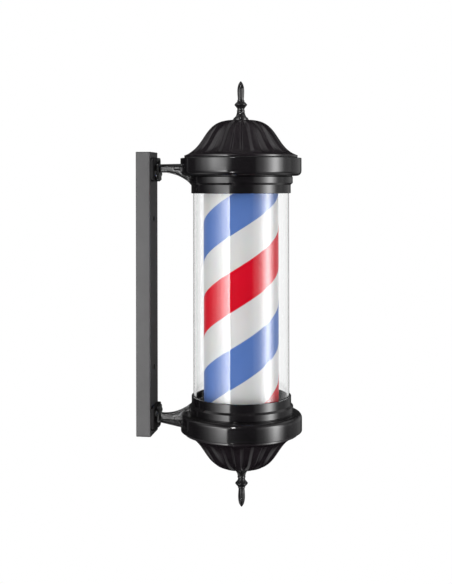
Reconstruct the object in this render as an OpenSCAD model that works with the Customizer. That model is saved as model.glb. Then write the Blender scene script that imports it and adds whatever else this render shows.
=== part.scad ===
// Lighted barber pole on a wall bracket, with its revolving drum, drive and lamp.
// Sizes are millimetres. +Z is up, the wall is the plane y = 0 and the pole stands in front of it, at -Y.
// The origin is the centre of the rail's back face.
// Both ends of the pole are drawn once, with heights measured outwards from the middle of the glass.
// The lower end is the mirror image of the upper one.

/* [Glass] */
// Outside diameter of the clear tube
tube_od = 160; // [150:1:190]
// Wall of the clear tube
tube_wall = 3; // [2:0.5:5]
// Height of glass seen between the two collars
glass_h = 336.4; // [300:0.2:500]
// Depth of the seat that takes each end of the tube
tube_seat = 12; // [8:0.5:16]
// Thickness of the soft ring under each end of the tube
gasket_t = 2; // [1:0.25:3]

/* [Collar] */
// Wall of the collar outside the tube's seat
rim_wall = 2.6; // [2:0.1:5]
// Height of the plain band at the collar's rim
rim_band_h = 13.8; // [11:0.1:20]
// How far the middle band stands out from the rim band
rim_step = 3.4; // [2:0.1:6]
// Height of the middle band, with its chamfer
mid_band_h = 13.2; // [10:0.1:20]
// How far the big band stands out from the rim band
big_step = 18; // [16:0.5:26]
// Height of the big band
big_band_h = 29.8; // [28:0.1:45]
// Rounding of the big band's shoulder
shoulder_round = 14; // [6:0.5:14]
// Wall of the collar's casting
cast_wall = 3.7; // [3:0.1:5]
// Width of the seat that the collar gives the dome
mouth_w = 11; // [9:0.5:13]

/* [Dome] */
// Thickness of the soft ring under each dome
seal_t = 1; // [0.5:0.25:2]
// How far the dome's lip lies inside the big band
dome_set_in = 6.5; // [5:0.5:9]
// Height of the dome's straight lip
lip_h = 3.5; // [3:0.5:8]
// Rise of the dome's curve, from the lip to the crown
dome_h = 59; // [45:0.5:80]
// Radius of the flat crown under the finial
crown_r = 13.5; // [13:0.5:18]
// Pull of the curve at the lip, inwards
foot_reach = 38.7; // [20:0.1:45]
// Pull of the curve at the lip, upwards
foot_rise = 12.9; // [5:0.1:20]
// Pull of the curve at the crown, outwards
crown_reach = 51.3; // [35:0.1:60]
// Number of flutes round the dome
flutes = 14; // [10:1:18]
// Share of the dome's face that the flutes take
flute_share = 0.46; // [0.3:0.01:0.6]
// Depth of a flute
flute_depth = 4; // [1.5:0.1:4.5]
// Wall of the dome behind the deepest point of a flute
dome_wall = 2.5; // [2:0.1:4]
// Turn of the first flute, in degrees
flute_turn = 15; // [0:1:25]

/* [Finial] */
// Height of the finial
finial_h = 65.2; // [50:0.1:90]
// Radius of the finial's foot
finial_r = 13; // [11:0.1:13]
// Radius of the finial's sharp disc
disc_r = 10.9; // [8:0.1:13]
// Diameter of the stud that the finial screws on
stud_d = 6; // [5:1:6]
// Length of thread inside the finial
finial_grip = 12; // [9:0.5:16]

/* [Rail] */
// Width of the rail
rail_w = 58; // [50:1:80]
// Depth of the rail, from the wall to its front
rail_d = 25; // [20:1:40]
// Wall of the rail
rail_wall = 2; // [1.5:0.25:3]
// Rounding of the rail's long edges
rail_round = 2; // [1:0.25:4]
// How far the rail runs on past the foot of each arm
rail_over = 9.3; // [5:0.1:40]
// Thickness of the head of each end plug
plug_t = 2; // [1:0.25:4]
// Distance between the two wall screws
wall_screw_gap = 250; // [150:5:300]
// Diameter of the wall screws' holes
wall_screw_hole = 6.5; // [5:0.5:8]
// Diameter of the access holes in the rail's front
access_hole = 9.5; // [9:0.5:14]

/* [Arms] */
// Distance from the rail's front to the pole's axis
reach = 148.5; // [140:0.5:200]
// Depth of the arm's outer face inside the end of the collar
arm_drop = 9.7; // [9:0.1:13]
// Thickness of the arm's foot
foot_t = 6; // [4:0.5:8]
// Width of the arm's foot
foot_w = 56; // [48:1:58]
// Height of the arm's foot
foot_h = 40; // [38:0.5:50]
// How far the foot stands past the arm's outer face
foot_over = 11.2; // [10:0.1:14]
// Thickness of the arm's web
web_t = 6; // [5:0.5:8]
// Thickness of the arm's outer flange
flange_t = 4.2; // [3:0.1:6]
// Half width of the outer flange where it leaves the foot
flange_root = 8.5; // [7:0.5:12]
// Widening of the outer flange, per millimetre towards the collar
flange_flare = 0.75; // [0.5:0.05:0.9]
// Thickness of the thin lip round the rest of the web
lip_t = 2; // [1.5:0.25:3]
// Width of the thin lip
lip_w = 16; // [14:0.5:20]
// Height of the arm at its foot
arm_root_h = 14.1; // [12:0.1:20]
// Radius of the arm's inner sweep
sweep_r = 70.4; // [60:0.1:90]
// Diameter of the bolts through the foot
bolt_d = 6; // [5:1:6]
// Diameter of the bolts' domed heads
bolt_head_d = 11.5; // [9:0.5:12]
// Distance between the two inner bolts
bolt_gap = 36; // [35:0.5:40]

/* [Drum] */
// Outside diameter of the drum
drum_od = 124.4; // [110:0.2:140]
// Wall of the drum
drum_wall = 2; // [1.5:0.25:3]
// Height that a stripe climbs in one turn
stripe_lead = 248.7; // [200:0.1:400]
// Height of a stripe, measured along the drum
stripe_h = 65.5; // [30:0.5:90]
// Thickness of the coloured film
film_t = 0.3; // [0.2:0.1:0.5]
// Height of the red stripe's middle where it faces +X
red_start = -110.8; // [-124:0.1:124]
// Thickness of the drum's end plates
drum_end_t = 3; // [2:0.5:5]

/* [Drive] */
// Size of the gears' teeth
gear_module = 1.5; // [1:0.25:1.5]
// Teeth of the drum's gear
drum_teeth = 40; // [38:1:44]
// Teeth of the motor's pinion
pinion_teeth = 14; // [12:1:16]
// Thickness of the drum's gear
gear_t = 7; // [5:0.5:9]
// Outside diameter of the hollow spindle
spindle_d = 40; // [36:1:42]
// Bore of the hollow spindle
spindle_bore = 32; // [31:0.5:33]
// Thickness of the spindle's foot
spindle_foot_t = 3; // [2:0.5:4]
// Thickness of the washer that carries the drum
washer_t = 1; // [0.5:0.25:2]
// Diameter of the motor
motor_d = 50; // [40:1:52]
// Height of the motor
motor_h = 20; // [15:1:24]
// Diameter of the motor's shaft
shaft_d = 7; // [5:0.5:8]
// Diameter of the pivot pin at the drum's top
pin_d = 8; // [6:0.5:10]
// Thickness of the plates across the collars
plate_t = 2; // [1.5:0.25:3]
// Depth of those plates behind the big band's shoulder
plate_rise = 9.5; // [8:0.5:11]

/* [Lamp] */
// Diameter of the lamp
lamp_d = 26; // [20:0.5:27]
// Length of the lamp, with its base and its tip
lamp_len = 330; // [200:5:350]
// Height of the lamp's holder
holder_h = 26; // [20:1:30]
// Turn of the cable gland round the lower collar, in degrees from the arm
gland_turn = -50; // [-120:5:-35]
// Bore of the cable gland
gland_bore = 6.5; // [5:0.5:8]

/* [Clearances] */
// Radial clearance of the tube in its seat
tube_fit = 0.4; // [0.2:0.1:1]
// Radial clearance of a shaft that turns in its bearing
run_fit = 0.05; // [0.02:0.01:0.1]
// Radial clearance of a screw in its thread, or of a piece pushed into another
seat_fit = 0.05; // [0.02:0.01:0.1]
// Radial clearance of a screw in a plain hole
pass_fit = 0.3; // [0.2:0.1:0.5]
// End clearance of the drum above its washer
end_play = 0.2; // [0.2:0.1:0.5]
// Clearance between a cast or moulded piece and the one it sits on or in
cast_fit = 0.1; // [0.05:0.05:0.3]
// Play between the teeth of the two gears
backlash = 0.3; // [0.2:0.05:0.5]

/* [Hidden] */

$fn = 96;
// Overshoot of a cut past the face it opens
over = 1;

// Pole's axis, and radii of the collar from the tube outwards
pole_y = rail_d + reach;
tube_r = tube_od / 2;
seat_r = tube_r + tube_fit;
rim_r = seat_r + rim_wall;
mid_r = rim_r + rim_step;
neck_cut = 1.8;
big_r = rim_r + big_step;
// The shoulder's rounding stays within the big band's step
shoulder_r = min(shoulder_round, big_step - rim_step);
cavity_r = big_r - cast_wall;
throat_r = mid_r - cast_wall;
ledge_r = tube_r - tube_wall - 1;
mouth_r = big_r - mouth_w;
edge_round = 1.2;

// Heights of the collar from the rim outwards
rim_h = glass_h / 2;
ledge_h = rim_h + tube_seat + gasket_t;
ledge_t = 3;
mid_h = rim_h + rim_band_h;
neck_h = mid_h + mid_band_h;
shoulder_h = neck_h + neck_cut;
end_h = shoulder_h + big_band_h;
mouth_t = 3.5;

// Dome and finial
dome_r = big_r - dome_set_in;
dome_foot_h = end_h + seal_t;
lip_top = dome_foot_h + lip_h;
crown_h = lip_top + dome_h;
spigot_r = mouth_r - cast_fit * 3;
spigot_t = 3;
spigot_len = 4;
stud_hole_r = stud_d / 2 + pass_fit;

// Drive, from the plate inwards
plate_h = shoulder_h + plate_rise;
plate_out = plate_h + plate_t;
plate_r = mouth_r - 2;
boss_r = 5;
boss_at = mid_r - neck_cut - boss_r - 0.2;
washer_h = plate_h - spindle_foot_t;
gear_h = washer_h - washer_t - end_play;
drum_end_h = gear_h - gear_t;
drum_h = drum_end_h - drum_end_t;
drum_r = drum_od / 2;
gear_gap = gear_module * (drum_teeth + pinion_teeth) / 2;
motor_turn = 270;

// Screws
plate_screw_d = 4;
plate_screw_grip = 9;
small_screw_d = 3;

// Arm, in the plane of the pole and the rail
arm_h = end_h - arm_drop;
foot_out_h = arm_h + foot_over;
foot_in_h = foot_out_h - foot_h;
foot_s = reach - foot_t;
block_t = 5;
root_s = foot_s - block_t;
block_w = 23;
sweep_s = root_s - 4.5;
sweep_h = arm_h - arm_root_h - sweep_r;
rail_half = foot_out_h + rail_over;
bolt_out_h = foot_out_h - 6.2;
bolt_in_h = foot_in_h + 12.4;
bolt_len = foot_t + rail_wall + 6;
saddle_screw_d = 5;
tip_screw_d = 3;
saddle_screw_h = arm_h - 5.6;
tip_screw_h = mid_h + 9;

function polar(r, a) = [r * cos(a), r * sin(a)];
// Points of an arc about c, from angle a0 to angle a1
function arc(c, r, a0, a1, n) = [for (i = [0:n]) c + polar(r, a0 + (a1 - a0) * i / n)];
// Point of a cubic curve that starts at p[0], ends at p[3] and is pulled by p[1] and p[2]
function cubic(p, t) = pow(1 - t, 3) * p[0] + 3 * pow(1 - t, 2) * t * p[1]
    + 3 * (1 - t) * t * t * p[2] + pow(t, 3) * p[3];

module upper_end() translate([0, -pole_y, 0]) children();
module lower_end() translate([0, -pole_y, 0]) mirror([0, 0, 1]) children();
// Round bar from height h0 to height h1
module bar(r, h0, h1) translate([0, 0, h0]) cylinder(h = h1 - h0, r = r);
// Ring from height h0 to height h1
module ring(ro, ri, h0, h1) difference() {
    bar(ro, h0, h1);
    bar(ri, h0 - over, h1 + over);
}
// Screw whose head stands on the plane z = 0 and whose shank goes down from it
module screw(d, len) {
    difference() {
        cylinder(h = 0.6 * d, r = 0.95 * d);
        translate([0, 0, 0.3 * d]) cylinder(h = d, r = 0.45 * d, $fn = 6);
    }
    translate([0, 0, -len]) cylinder(h = len + 0.3 * d - 0.2, r = d / 2);
}
// Copies of the children at n places on a circle
module around(n, r, first = 0) for (i = [0:n - 1]) rotate(first + 360 * i / n) translate([r, 0, 0]) children();

// Rounded bar section of the rail, with its back on the plane y = 0
module rail_section(inset) {
    w = rail_w - 2 * inset;
    d = rail_d - 2 * inset;
    r = max(rail_round - inset, 0.5);
    translate([0, -rail_d / 2]) {
        square([w - 2 * r, d], center = true);
        square([w, d - 2 * r], center = true);
        for (x = [-1, 1], y = [-1, 1]) translate([x * (w / 2 - r), y * (d / 2 - r)]) circle(r);
    }
}

// Places of the three bolts on the face of an arm's foot, with +Z pointing away from the rail
module bolt_places() for (p = [[0, bolt_out_h], [-bolt_gap / 2, bolt_in_h], [bolt_gap / 2, bolt_in_h]])
    translate([p[0], foot_s, p[1]]) rotate([90, 0, 0]) children();

module wall_rail() color("#3b3a3c") difference() {
    linear_extrude(2 * (rail_half - plug_t), center = true) difference() {
        rail_section(0);
        rail_section(rail_wall);
    }
    for (s = [-1, 1]) translate([0, 0, s * wall_screw_gap / 2]) rotate([90, 0, 0]) {
        bar(wall_screw_hole / 2, -over, rail_wall + over);
        bar(access_hole / 2, rail_d - rail_wall - over, rail_d + over);
    }
    upper_end() bolt_places() bar(bolt_d / 2 + seat_fit, -bolt_len, 0);
    lower_end() bolt_places() bar(bolt_d / 2 + seat_fit, -bolt_len, 0);
}

module rail_plug() {
    // The plug ends short of the outer bolt
    plug_len = min(12, rail_half - plug_t - bolt_out_h - bolt_d / 2 - 1);
    plug_wall = 2;
    translate([0, 0, rail_half - plug_t]) linear_extrude(plug_t) rail_section(0);
    translate([0, 0, rail_half - plug_t - plug_len]) linear_extrude(plug_len) difference() {
        rail_section(rail_wall + cast_fit);
        rail_section(rail_wall + cast_fit + plug_wall);
    }
}
module rail_end_plugs() color("#2b2b2d") {
    rail_plug();
    mirror([0, 0, 1]) rail_plug();
}

// Outside of the collar as radius and height, grown by gap, with or without the groove under its shoulder
function collar_outside(gap, groove = true) = concat(
    [[rim_r + gap, rim_h], [rim_r + gap, mid_h], [mid_r + gap, mid_h + rim_step]],
    groove ? [[mid_r + gap, neck_h], [mid_r - neck_cut + gap, shoulder_h - gap]]
        : [[mid_r + gap, shoulder_h - gap]],
    arc([big_r - shoulder_r, shoulder_h + shoulder_r], shoulder_r + gap, -90, 0, 10));

module collar_body() rotate_extrude() polygon(concat(
    collar_outside(0),
    arc([big_r - edge_round, end_h - edge_round], edge_round, 0, 90, 3),
    [[mouth_r, end_h], [mouth_r, end_h - mouth_t], [cavity_r, end_h - mouth_t]],
    arc([big_r - shoulder_r, shoulder_h + shoulder_r], shoulder_r - cast_wall, 0, -90, 6),
    [[throat_r, shoulder_h + cast_wall], [throat_r, ledge_h + ledge_t], [ledge_r, ledge_h + ledge_t],
        [ledge_r, ledge_h], [seat_r, ledge_h], [seat_r, rim_h]]));

// Screws from inside the collar into the arm, with +Z pointing at the pole's axis
module saddle_screw_places() translate([0, saddle_face_s, saddle_screw_h]) rotate([90, 0, 0]) children();
module tip_screw_places() translate([0, tip_face_s, tip_screw_h]) rotate([90, 0, 0]) children();
// Flat pad inside the collar for the head of the saddle screw
saddle_pad_r = 5.5;
saddle_face_s = cavity_r - 2.8;
// The tip screw's flat head on the round wall touches it at the head's two sides
tip_face_s = sqrt(pow(throat_r, 2) - pow(0.95 * tip_screw_d, 2)) - seat_fit;
saddle_screw_len = 17;
tip_screw_len = 9;
// Length of the arm's boss for the saddle screw, outside the collar
saddle_boss_len = 12;

module collar() difference() {
    union() {
        collar_body();
        around(4, boss_at, 45) bar(boss_r, ledge_h + ledge_t - over, plate_h);
        saddle_screw_places() bar(saddle_pad_r, saddle_face_s - cavity_r - over, 0);
    }
    around(4, boss_at, 45) bar(plate_screw_d / 2 + seat_fit, plate_h - plate_screw_grip - 2, plate_h + over);
    saddle_screw_places() bar(saddle_screw_d / 2 + pass_fit, -saddle_screw_len, over);
    tip_screw_places() bar(tip_screw_d / 2 + pass_fit, -tip_screw_len, over);
}

// Cable gland, with +Z pointing out of the collar
gland_h = end_h - 11.5;
gland_thread_r = 6;
gland_hex_r = 9;
gland_pad_r = 10;
gland_pad_s = big_r + 1.5;
gland_inner_s = 94;
module gland_place() rotate(gland_turn) translate([0, 0, gland_h]) rotate([-90, 0, 0]) children();

module upper_collar() color("#141416") upper_end() collar();
module lower_collar() color("#141416") lower_end() difference() {
    union() {
        collar();
        gland_place() bar(gland_pad_r, cavity_r + 1, gland_pad_s);
    }
    gland_place() bar(gland_thread_r + seat_fit, gland_inner_s - over, gland_pad_s + over);
    gland_place() bar(gland_pad_r, gland_inner_s, sqrt(pow(cavity_r, 2) - pow(gland_pad_r, 2)));
}

module cable_gland() color("#1d1d1f") lower_end() gland_place() difference() {
    union() {
        translate([0, 0, gland_pad_s]) cylinder(h = 4, r = gland_hex_r, $fn = 6);
        bar(gland_thread_r + 1, gland_pad_s + 4, gland_pad_s + 15);
        bar(gland_thread_r, gland_inner_s - 7, gland_pad_s);
    }
    bar(gland_bore / 2, gland_inner_s - 8, gland_pad_s + 16);
}
module gland_nut() color("#1d1d1f") lower_end() gland_place() difference() {
    translate([0, 0, gland_nut_s - 4]) cylinder(h = 4, r = gland_hex_r, $fn = 6);
    bar(gland_thread_r + seat_fit, gland_nut_s - 5, gland_nut_s + over);
}
gland_nut_s = sqrt(pow(cavity_r, 2) - pow(gland_pad_r, 2));

// Side view of the arm as distance from the pole's axis and height
module arm_side() polygon(concat(
    [[foot_s + over, arm_h], [ledge_r, arm_h], [ledge_r, mid_h]],
    arc([sweep_s, sweep_h], sweep_r, 135, 90, 16),
    [[foot_s + over, sweep_h + sweep_r]]));
// Thin lip along the arm's inner edge and along the collar
module arm_lip_side() intersection() {
    arm_side();
    union() {
        polygon(concat(arc([sweep_s, sweep_h], sweep_r, 140, 90, 16),
            [[foot_s, sweep_h + sweep_r], [foot_s, sweep_h + sweep_r + lip_t]],
            arc([sweep_s, sweep_h], sweep_r + lip_t, 90, 140, 16)));
        polygon(concat([[0, rim_h]], collar_outside(cast_fit + lip_t, false),
            [[big_r + cast_fit + lip_t, arm_h], [0, arm_h]]));
    }
}
module from_side(t) rotate([90, 0, 90]) linear_extrude(t, center = true) children();

module arm() difference() {
    union() {
        from_side(web_t) arm_side();
        from_side(lip_w) arm_lip_side();
        // Outer flange, flaring towards the collar
        translate([0, 0, arm_h - flange_t]) linear_extrude(flange_t) polygon([
            [flange_root, foot_s], [flange_root, root_s],
            [flange_root + flange_flare * (root_s - flange_in_s), flange_in_s],
            [-flange_root - flange_flare * (root_s - flange_in_s), flange_in_s],
            [-flange_root, root_s], [-flange_root, foot_s]]);
        // Block at the root
        translate([-block_w / 2, root_s, foot_in_h + 1.5])
            cube([block_w, block_t + over, arm_h - foot_in_h - 1.5]);
        // Boss for the screw from the collar
        translate([0, big_r, saddle_screw_h]) rotate([-90, 0, 0]) bar(5.5, -over, saddle_boss_len);
        // Foot
        translate([0, reach, 0]) rotate([90, 0, 0]) linear_extrude(foot_t) foot_outline();
    }
    rotate_extrude() polygon(concat([[0, rim_h]], collar_outside(cast_fit), [[big_r + cast_fit, end_h], [0, end_h]]));
    bolt_places() bar(bolt_d / 2 + pass_fit, -foot_t - over, over);
    bolt_places() bar(bolt_head_d / 2 + pass_fit, 0, block_t + over);
    saddle_screw_places() bar(saddle_screw_d / 2 + seat_fit, -saddle_screw_len, 0);
    tip_screw_places() bar(tip_screw_d / 2 + seat_fit, -tip_screw_len, 0);
}
// Place where the flaring flange meets the collar
flange_in_s = big_r - 14;
module foot_outline() {
    r = 5;
    mid = (foot_out_h + foot_in_h) / 2;
    translate([0, mid]) {
        square([foot_w - 2 * r, foot_h], center = true);
        square([foot_w, foot_h - 2 * r], center = true);
        for (x = [-1, 1], y = [-1, 1]) translate([x * (foot_w / 2 - r), y * (foot_h / 2 - r)]) circle(r);
    }
}
module upper_arm() color("#151517") upper_end() arm();
module lower_arm() color("#151517") lower_end() arm();

// Domed bolt head with a hexagon socket
module bolt() {
    head_h = 4.5;
    cap_r = (pow(bolt_head_d / 2, 2) + pow(head_h, 2)) / (2 * head_h);
    difference() {
        intersection() {
            translate([0, 0, head_h - cap_r]) sphere(cap_r);
            bar(bolt_head_d / 2, 0, head_h);
        }
        translate([0, 0, 2]) cylinder(h = head_h, r = 2.2, $fn = 6);
    }
    bar(bolt_d / 2, -bolt_len, 1);
}
module upper_arm_bolts() color("#1a1a1c") upper_end() bolt_places() bolt();
module lower_arm_bolts() color("#1a1a1c") lower_end() bolt_places() bolt();

module saddle_screws() {
    saddle_screw_places() screw(saddle_screw_d, saddle_screw_len - 1);
    tip_screw_places() screw(tip_screw_d, tip_screw_len - 1);
}
module upper_saddle_screws() color("silver") upper_end() saddle_screws();
module lower_saddle_screws() color("silver") lower_end() saddle_screws();

module clear_tube() color([0.85, 0.9, 0.92, 0.35]) upper_end()
    ring(tube_r, tube_r - tube_wall, -rim_h - tube_seat, rim_h + tube_seat);
module tube_gasket() ring(tube_r, ledge_r, ledge_h - gasket_t, ledge_h);
module upper_tube_gasket() color("#202020") upper_end() tube_gasket();
module lower_tube_gasket() color("#202020") lower_end() tube_gasket();

module dome_seal() ring(dome_r - 0.5, mouth_r + 0.5, end_h, end_h + seal_t);
module upper_dome_seal() color("#202020") upper_end() dome_seal();
module lower_dome_seal() color("#202020") lower_end() dome_seal();

// Ogee of the dome, from the lip at t = 0 to the crown at t = 1
ogee = [[dome_r, lip_top], [dome_r - foot_reach, lip_top + foot_rise],
    [crown_r + crown_reach, crown_h], [crown_r, crown_h]];
// Unit vector square to the ogee, pointing into the dome
function inward(t) = let (d = cubic(ogee, min(t + 0.001, 1)) - cubic(ogee, max(t - 0.001, 0)))
    [d[1] * -1, d[0]] / norm(d);
// The flutes run from t = flute_lo to t = flute_hi
flute_lo = 0.115;
flute_hi = 0.94;
flute_pitch = 360 / flutes;
// Opening of a flute at t: round at the lip's end, drawn to a point at the crown's end
function flute_open(t) = t <= flute_lo || t >= flute_hi ? 0
    : sqrt(1 - pow(1 - min((t - flute_lo) / 0.07, 1), 2)) * min((flute_hi - t) / 0.22, 1);
function flute_half(t) = flute_share * flute_pitch / 2 * max(flute_open(t), 0.15);
// Depth of the flute at its middle, shallower where it narrows
function flute_cut(t) = flute_depth * min(flute_open(t) * 1.3, 1);
// Columns of one flute and of the rib beside it
flute_steps = [-1, -0.5, 0, 0.5, 1];
rib_steps = [0.33, 0.67];
column_dips = concat([for (s = flute_steps) 1 - pow(s, 4)], [for (s = rib_steps) 0]);
function column_turns(half) = [for (k = [0:flutes - 1]) let (a = flute_turn + flute_pitch * k)
    each concat([for (s = flute_steps) a + s * half],
        [for (s = rib_steps) a + half + s * (flute_pitch - 2 * half)])];
dome_rows = [0, 0.06, 0.115, 0.12, 0.13, 0.15, 0.185, 0.24, 0.3, 0.36, 0.42, 0.48, 0.54, 0.6, 0.66,
    0.72, 0.78, 0.83, 0.88, 0.92, 0.94, 1];
// One ring of the fluted face
function fluted_ring(t) = let (p = cubic(ogee, t), d = inward(t) * flute_cut(t), turns = column_turns(flute_half(t)))
    [for (i = [0:len(turns) - 1]) let (q = p + d * column_dips[i % len(column_dips)])
        [q[0] * cos(turns[i]), q[0] * sin(turns[i]), q[1]]];
// One plain ring with the same number of points
function plain_ring(r, h) = [for (a = column_turns(flute_share * flute_pitch / 2)) [r * cos(a), r * sin(a), h]];
dome_skin = dome_wall + flute_depth;
function dome_inside(t) = cubic(ogee, t) + inward(t) * dome_skin;
dome_rings = concat(
    [for (t = dome_rows) fluted_ring(t)],
    [plain_ring(stud_hole_r, crown_h), plain_ring(stud_hole_r, crown_h - dome_skin)],
    [for (t = [1:-0.14:0.16]) plain_ring(dome_inside(t)[0], dome_inside(t)[1])],
    [plain_ring(spigot_r - spigot_t, dome_foot_h), plain_ring(spigot_r - spigot_t, end_h - spigot_len),
        plain_ring(spigot_r, end_h - spigot_len), plain_ring(spigot_r, dome_foot_h),
        plain_ring(dome_r, dome_foot_h)]);
// Closed skin over a list of rings that goes round and back to its start
module ring_skin(rings) {
    n = len(rings);
    m = len(rings[0]);
    polyhedron(points = [for (r = rings) each r], convexity = 6, faces = [for (i = [0:n - 1], j = [0:m - 1])
        let (i1 = (i + 1) % n, j1 = (j + 1) % m)
        each [[i * m + j, i1 * m + j, i1 * m + j1], [i * m + j, i1 * m + j1, i * m + j1]]]);
}
module upper_dome() color("#1b181c") upper_end() ring_skin(dome_rings);
module lower_dome() color("#1b181c") lower_end() ring_skin(dome_rings);

// Outline of the finial above its seat
finial_outline = concat(
    [[finial_r, 0], [finial_r, 1.5], [finial_r - 1, 2.2], [finial_r - 0.9, 3.2], [finial_r - 2.2, 4.2]],
    [for (i = [1:6]) cubic([[finial_r - 2.2, 4.2], [8.4, 6], [7, 9], [6.4, 14]], i / 6)],
    arc([5.9, 15.2], 1.1, -45, 45, 4),
    [[6, 17], [6, 19], [7.2, 21]],
    arc([disc_r - 0.6, 25.4], 0.6, -50, 50, 4),
    [[8.6, 28.4], [5.9, 31], [6.2, 32], [5.9, 33]],
    [for (i = [0:12]) cubic([[5.1, 33.8], [6, 45], [7.9, finial_h - 6.5], [0, finial_h]], i / 12)]);
module finial() translate([0, 0, crown_h]) difference() {
    rotate_extrude() polygon(concat([[0, 0]], finial_outline));
    bar(stud_d / 2 + seat_fit, -over, finial_grip + 1.5);
}
module upper_finial() color("#121214") upper_end() finial();
module lower_finial() color("#121214") lower_end() finial();

// Bearing of the drum's top, on the outer face of its plate
bush_r = 7;
bush_flange_r = 9.5;
bush_flange_t = 1;
bush_len = 13;
housing_h = plate_out + 21;
housing_r = 11;
housing_foot_r = 22;
housing_foot_t = 3;
housing_screw_at = 17;
stud_grip = 8;
pin_top_h = plate_h + bush_len - 3;

module upper_dome_stud() color("silver") upper_end() bar(stud_d / 2, housing_h - stud_grip, crown_h + finial_grip);
module lower_dome_stud() color("silver") lower_end() {
    bar(stud_d / 2, plate_out, crown_h + finial_grip);
    bar(stud_d / 2 + 3, plate_out, plate_out + 1.5);
}
module bearing_housing() color("silver") upper_end() difference() {
    union() {
        bar(housing_foot_r, plate_out, plate_out + housing_foot_t);
        bar(housing_r, plate_out, housing_h);
    }
    bar(bush_r + seat_fit, plate_out - over, plate_h + bush_len + 0.5);
    bar(stud_d / 2 + seat_fit, housing_h - stud_grip - 0.5, housing_h + over);
    around(3, housing_screw_at) bar(small_screw_d / 2 + pass_fit, plate_out - over, housing_h);
}
module housing_screws() color("silver") upper_end() around(3, housing_screw_at)
    translate([0, 0, plate_out + housing_foot_t]) screw(small_screw_d, housing_foot_t + plate_t);
module pivot_bush() color("#b8873a") upper_end() difference() {
    union() {
        bar(bush_r, plate_h - bush_flange_t, plate_h + bush_len);
        bar(bush_flange_r, plate_h - bush_flange_t, plate_h);
    }
    bar(pin_d / 2 + run_fit, plate_h - bush_flange_t - over, plate_h + bush_len + over);
}

// Round plate across a collar, on the collar's four bosses
module plate_blank() difference() {
    bar(plate_r, plate_h, plate_out);
    around(4, boss_at, 45) bar(plate_screw_d / 2 + pass_fit, plate_h - over, plate_out + over);
}
module plate_screws() around(4, boss_at, 45) translate([0, 0, plate_out]) screw(plate_screw_d, plate_t + plate_screw_grip);
module bearing_plate() color("#6a6c70") upper_end() difference() {
    plate_blank();
    bar(bush_r + pass_fit, plate_h - over, plate_out + over);
    around(3, housing_screw_at) bar(small_screw_d / 2 + seat_fit, plate_h - over, plate_out + over);
}
module bearing_plate_screws() color("silver") upper_end() plate_screws();

// Places on the lower plate
spindle_foot_r = spindle_d / 2 + 7;
spindle_screw_at = spindle_foot_r - 3.3;
holder_screw_at = 10.5;
holder_screw_turn = 60;
lead_r = 1.5;
lead_hole_at = 11;
lead_hole_turn = 10;
motor_ear_at = motor_d / 2 + 5;
block_at = 55;
module motor_place() rotate(motor_turn) translate([gear_gap, 0, 0]) children();
module motor_ears() motor_place() for (s = [-1, 1]) translate([0, s * motor_ear_at, 0]) children();
module block_place() rotate(90 + gland_turn) translate([block_at, 0, 0]) children();
block_screw_at = 9;

module chassis_plate() color("#6a6c70") lower_end() difference() {
    plate_blank();
    around(3, spindle_screw_at, motor_turn + 60)
        bar(small_screw_d / 2 + pass_fit, plate_h - over, plate_out + over);
    motor_place() bar(shaft_d / 2 + 3, plate_h - over, plate_out + over);
    motor_ears() bar(small_screw_d / 2 + seat_fit, plate_h - over, plate_out + over);
    around(2, holder_screw_at, holder_screw_turn)
        bar(small_screw_d / 2 + pass_fit, plate_h - over, plate_out + over);
    rotate(lead_hole_turn) translate([lead_hole_at, 0, 0]) bar(lead_r + 0.7, plate_h - over, plate_out + over);
    block_place() for (s = [-1, 1]) translate([0, s * block_screw_at, 0])
        bar(small_screw_d / 2 + seat_fit, plate_h - over, plate_out + over);
}
module chassis_screws() color("silver") lower_end() plate_screws();

module spindle() color("silver") lower_end() difference() {
    union() {
        bar(spindle_foot_r, washer_h, plate_h);
        bar(spindle_d / 2, drum_h - 4, plate_h);
    }
    bar(spindle_bore / 2, drum_h - 5, plate_h + over);
    around(3, spindle_screw_at, motor_turn + 60)
        bar(small_screw_d / 2 + seat_fit, washer_h + 0.5, plate_h + over);
}
module spindle_screws() color("silver") lower_end() around(3, spindle_screw_at, motor_turn + 60)
    translate([0, 0, plate_out]) screw(small_screw_d, plate_t + spindle_foot_t - 0.6);
module thrust_washer() color("#e8e4d8") lower_end()
    ring(spindle_foot_r - 0.5, spindle_d / 2 + pass_fit, washer_h - washer_t, washer_h);

// Involute of the base circle rb at radius r, in degrees
function involute(rb, r) = let (q = sqrt(max(pow(r / rb, 2) - 1, 0))) q * 180 / PI - atan(q);
// Outline of a gear, with a tooth centred on the X axis
function gear_outline(teeth) = let (
        rp = gear_module * teeth / 2,
        rb = rp * cos(20),
        tip = rp + 0.9 * gear_module,
        root = rp - 1.25 * gear_module,
        start = max(rb, root),
        half = 90 / teeth - backlash / 4 / rp * 180 / PI,
        flank = [for (i = [0:4]) let (r = start + (tip - start) * i / 4)
            [r, half + involute(rb, rp) - involute(rb, r)]])
    [for (k = [0:teeth - 1]) let (c = 360 * k / teeth) each concat(
        [polar(root, c - flank[0][1])],
        [for (f = flank) polar(f[0], c - f[1])],
        [for (i = [4:-1:0]) polar(flank[i][0], c + flank[i][1])],
        [polar(root, c + flank[0][1])])];

gear_screw_at = (spindle_d / 2 + gear_module * (drum_teeth / 2 - 1.25)) / 2;
module drum_gear() color("#e9e6dc") lower_end() difference() {
    rotate(motor_turn) translate([0, 0, drum_end_h]) linear_extrude(gear_t) polygon(gear_outline(drum_teeth));
    bar(spindle_d / 2 + run_fit, drum_end_h - over, gear_h + over);
    around(4, gear_screw_at) bar(small_screw_d / 2 + seat_fit, drum_end_h - over, gear_h - 1);
}
// The screws stand in the drum, with their heads towards its middle
module drum_gear_screws() color("silver") lower_end() around(4, gear_screw_at)
    translate([0, 0, drum_h]) mirror([0, 0, 1]) screw(small_screw_d, drum_end_t + gear_t - 1.5);

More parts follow.
